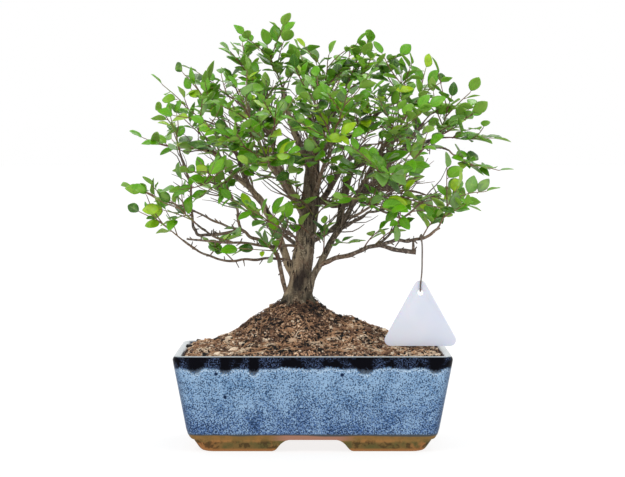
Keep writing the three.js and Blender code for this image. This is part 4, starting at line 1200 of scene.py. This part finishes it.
leafMaterials = [shootMaterial, makeLeafMaterial()]
for index in range(len(nearShoots)):
    makeNearShoot(f"nearShoot{index + 1:02d}", index, leafMaterials)
for index in range(sprayCount):
    inner = index + 1 - len(sprayTips)
    if inner > 0:
        makeSpray(f"innerSpray{inner}", index, leafMaterials, f"inner_spray_{inner}")
    else:
        makeSpray(f"leafySpray{index + 1:02d}", index, leafMaterials, f"spray_{index + 1:02d}")
print("leaves")

# Hang tag, its wire and the drain screens
tag = {
    "centre": (79.2, -42), "bottom": 75.7, "height": 48.3, "width": 52.7, "thickness": 1, "corner": 4.5,
    "bevel": 0.18, "holeHeight": 115.1, "holeRadius": 2.2, "plastic": "#d1d5e0", "shade": "#cad0dd",
}
hangWire = {
    "radius": 0.55, "hook": (80, -43, 155), "hookRadius": 2.85, "loopRadius": 1.7, "loopDrop": 1.1,
    "hookAngles": (-0.9, -0.3, 0.4, 1.1, 1.6, 2.2, 2.8, 3.3), "loopAngles": (3.3, 4, 4.71, 5.4, 6.1),
    "way": [(80.4, -44.9, 149), (80.4, -44.4, 140), (80.2, -44, 130), (79.3, -43.7, 121)],
    "end": (79.2, -40.2, 122), "coat": "#54453d", "worn": "#7b6d64",
}
screens = {"plastic": "#1b2124", "dust": "#33302a"}


def arc(centre, radius, angles):
    return [centre + Vector((math.cos(angle), math.sin(angle))) * radius for angle in angles]


def makeTag(material):
    corner, height, width, bevel = tag["corner"], tag["height"], tag["width"], tag["bevel"]
    corners = [Vector((corner - width / 2, corner)), Vector((width / 2 - corner, corner)),
               Vector((0, height - corner))]
    curve = bpy.data.curves.new("tagOutline", "CURVE")
    curve.dimensions = "2D"
    curve.fill_mode = "BOTH"
    curve.extrude = (tag["thickness"] / 2 - bevel) * mm
    curve.bevel_depth = bevel * mm
    curve.bevel_resolution = 2
    curve.offset = -bevel * mm
    outline = []
    for i, centre in enumerate(corners):
        before, after = centre - corners[i - 1], corners[(i + 1) % 3] - centre
        start = math.atan2(before.y, before.x) - math.pi / 2
        sweep = (math.atan2(after.y, after.x) - math.pi / 2 - start) % (2 * math.pi)
        outline += arc(centre, corner, [start + sweep * step / 12 for step in range(13)])
    middle = Vector((0, tag["holeHeight"] - tag["bottom"]))
    hole = arc(middle, tag["holeRadius"], [-2 * math.pi * step / 32 for step in range(32)])
    for points in (outline, hole):
        spline = curve.splines.new("POLY")
        spline.points.add(len(points) - 1)
        for knot, point in zip(spline.points, points):
            knot.co = (point.x * mm, point.y * mm, 0, 1)
        spline.use_cyclic_u = True
    mesh = evaluatedMesh(curve)
    spot = Matrix.Translation(Vector((*tag["centre"], tag["bottom"])) * mm)
    mesh.transform(spot @ Matrix.Rotation(math.pi / 2, 4, "X"))
    bm = bmesh.new()
    bm.from_mesh(mesh)
    bmesh.ops.remove_doubles(bm, verts=bm.verts, dist=1e-6)
    bmesh.ops.recalc_face_normals(bm, faces=bm.faces)
    addPiece("hangTag", meshFrom(bm, "hangTag", 40), [material], ["tag"])


def makeWire(material):
    _, hookY, hookZ = hangWire["hook"]
    x, y = tag["centre"]
    hook = arc(Vector((hookY, hookZ)), hangWire["hookRadius"], hangWire["hookAngles"])
    lowest = tag["holeHeight"] + tag["holeRadius"] - hangWire["loopDrop"]
    loop = arc(Vector((y, lowest + hangWire["loopRadius"])), hangWire["loopRadius"], hangWire["loopAngles"])
    points = [(hangWire["hook"][0], *point) for point in hook] + hangWire["way"]
    points += [(x, *point) for point in loop] + [hangWire["end"]]
    curve = newCurve(10, 6)
    addSpline(curve, points, [hangWire["radius"]] * len(points))
    addPiece("tagWire", smoothMesh(curve), [material], ["tag_wire"])


def dressScreens(material):
    for node in ("drain_screen_left", "drain_screen_right"):
        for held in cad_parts[node].material_slots:
            held.material = material


makeTag(makeLayered("tagPlastic", tag["plastic"], [(18, 0.4, 0.6, tag["shade"])], 0.28, (60, 0.00008),
                    **{"Subsurface Weight": 0.2, "Subsurface Scale": 0.002}))
makeWire(makeLayered("coatedWire", hangWire["coat"], [(300, 0.4, 0.7, hangWire["worn"])], 0.4, (700, 0.0002)))
dressScreens(makeLayered("screenPlastic", screens["plastic"], [(200, 0.4, 0.7, screens["dust"])], 0.6,
                         (400, 0.0003)))
print("tag, wire and screens")
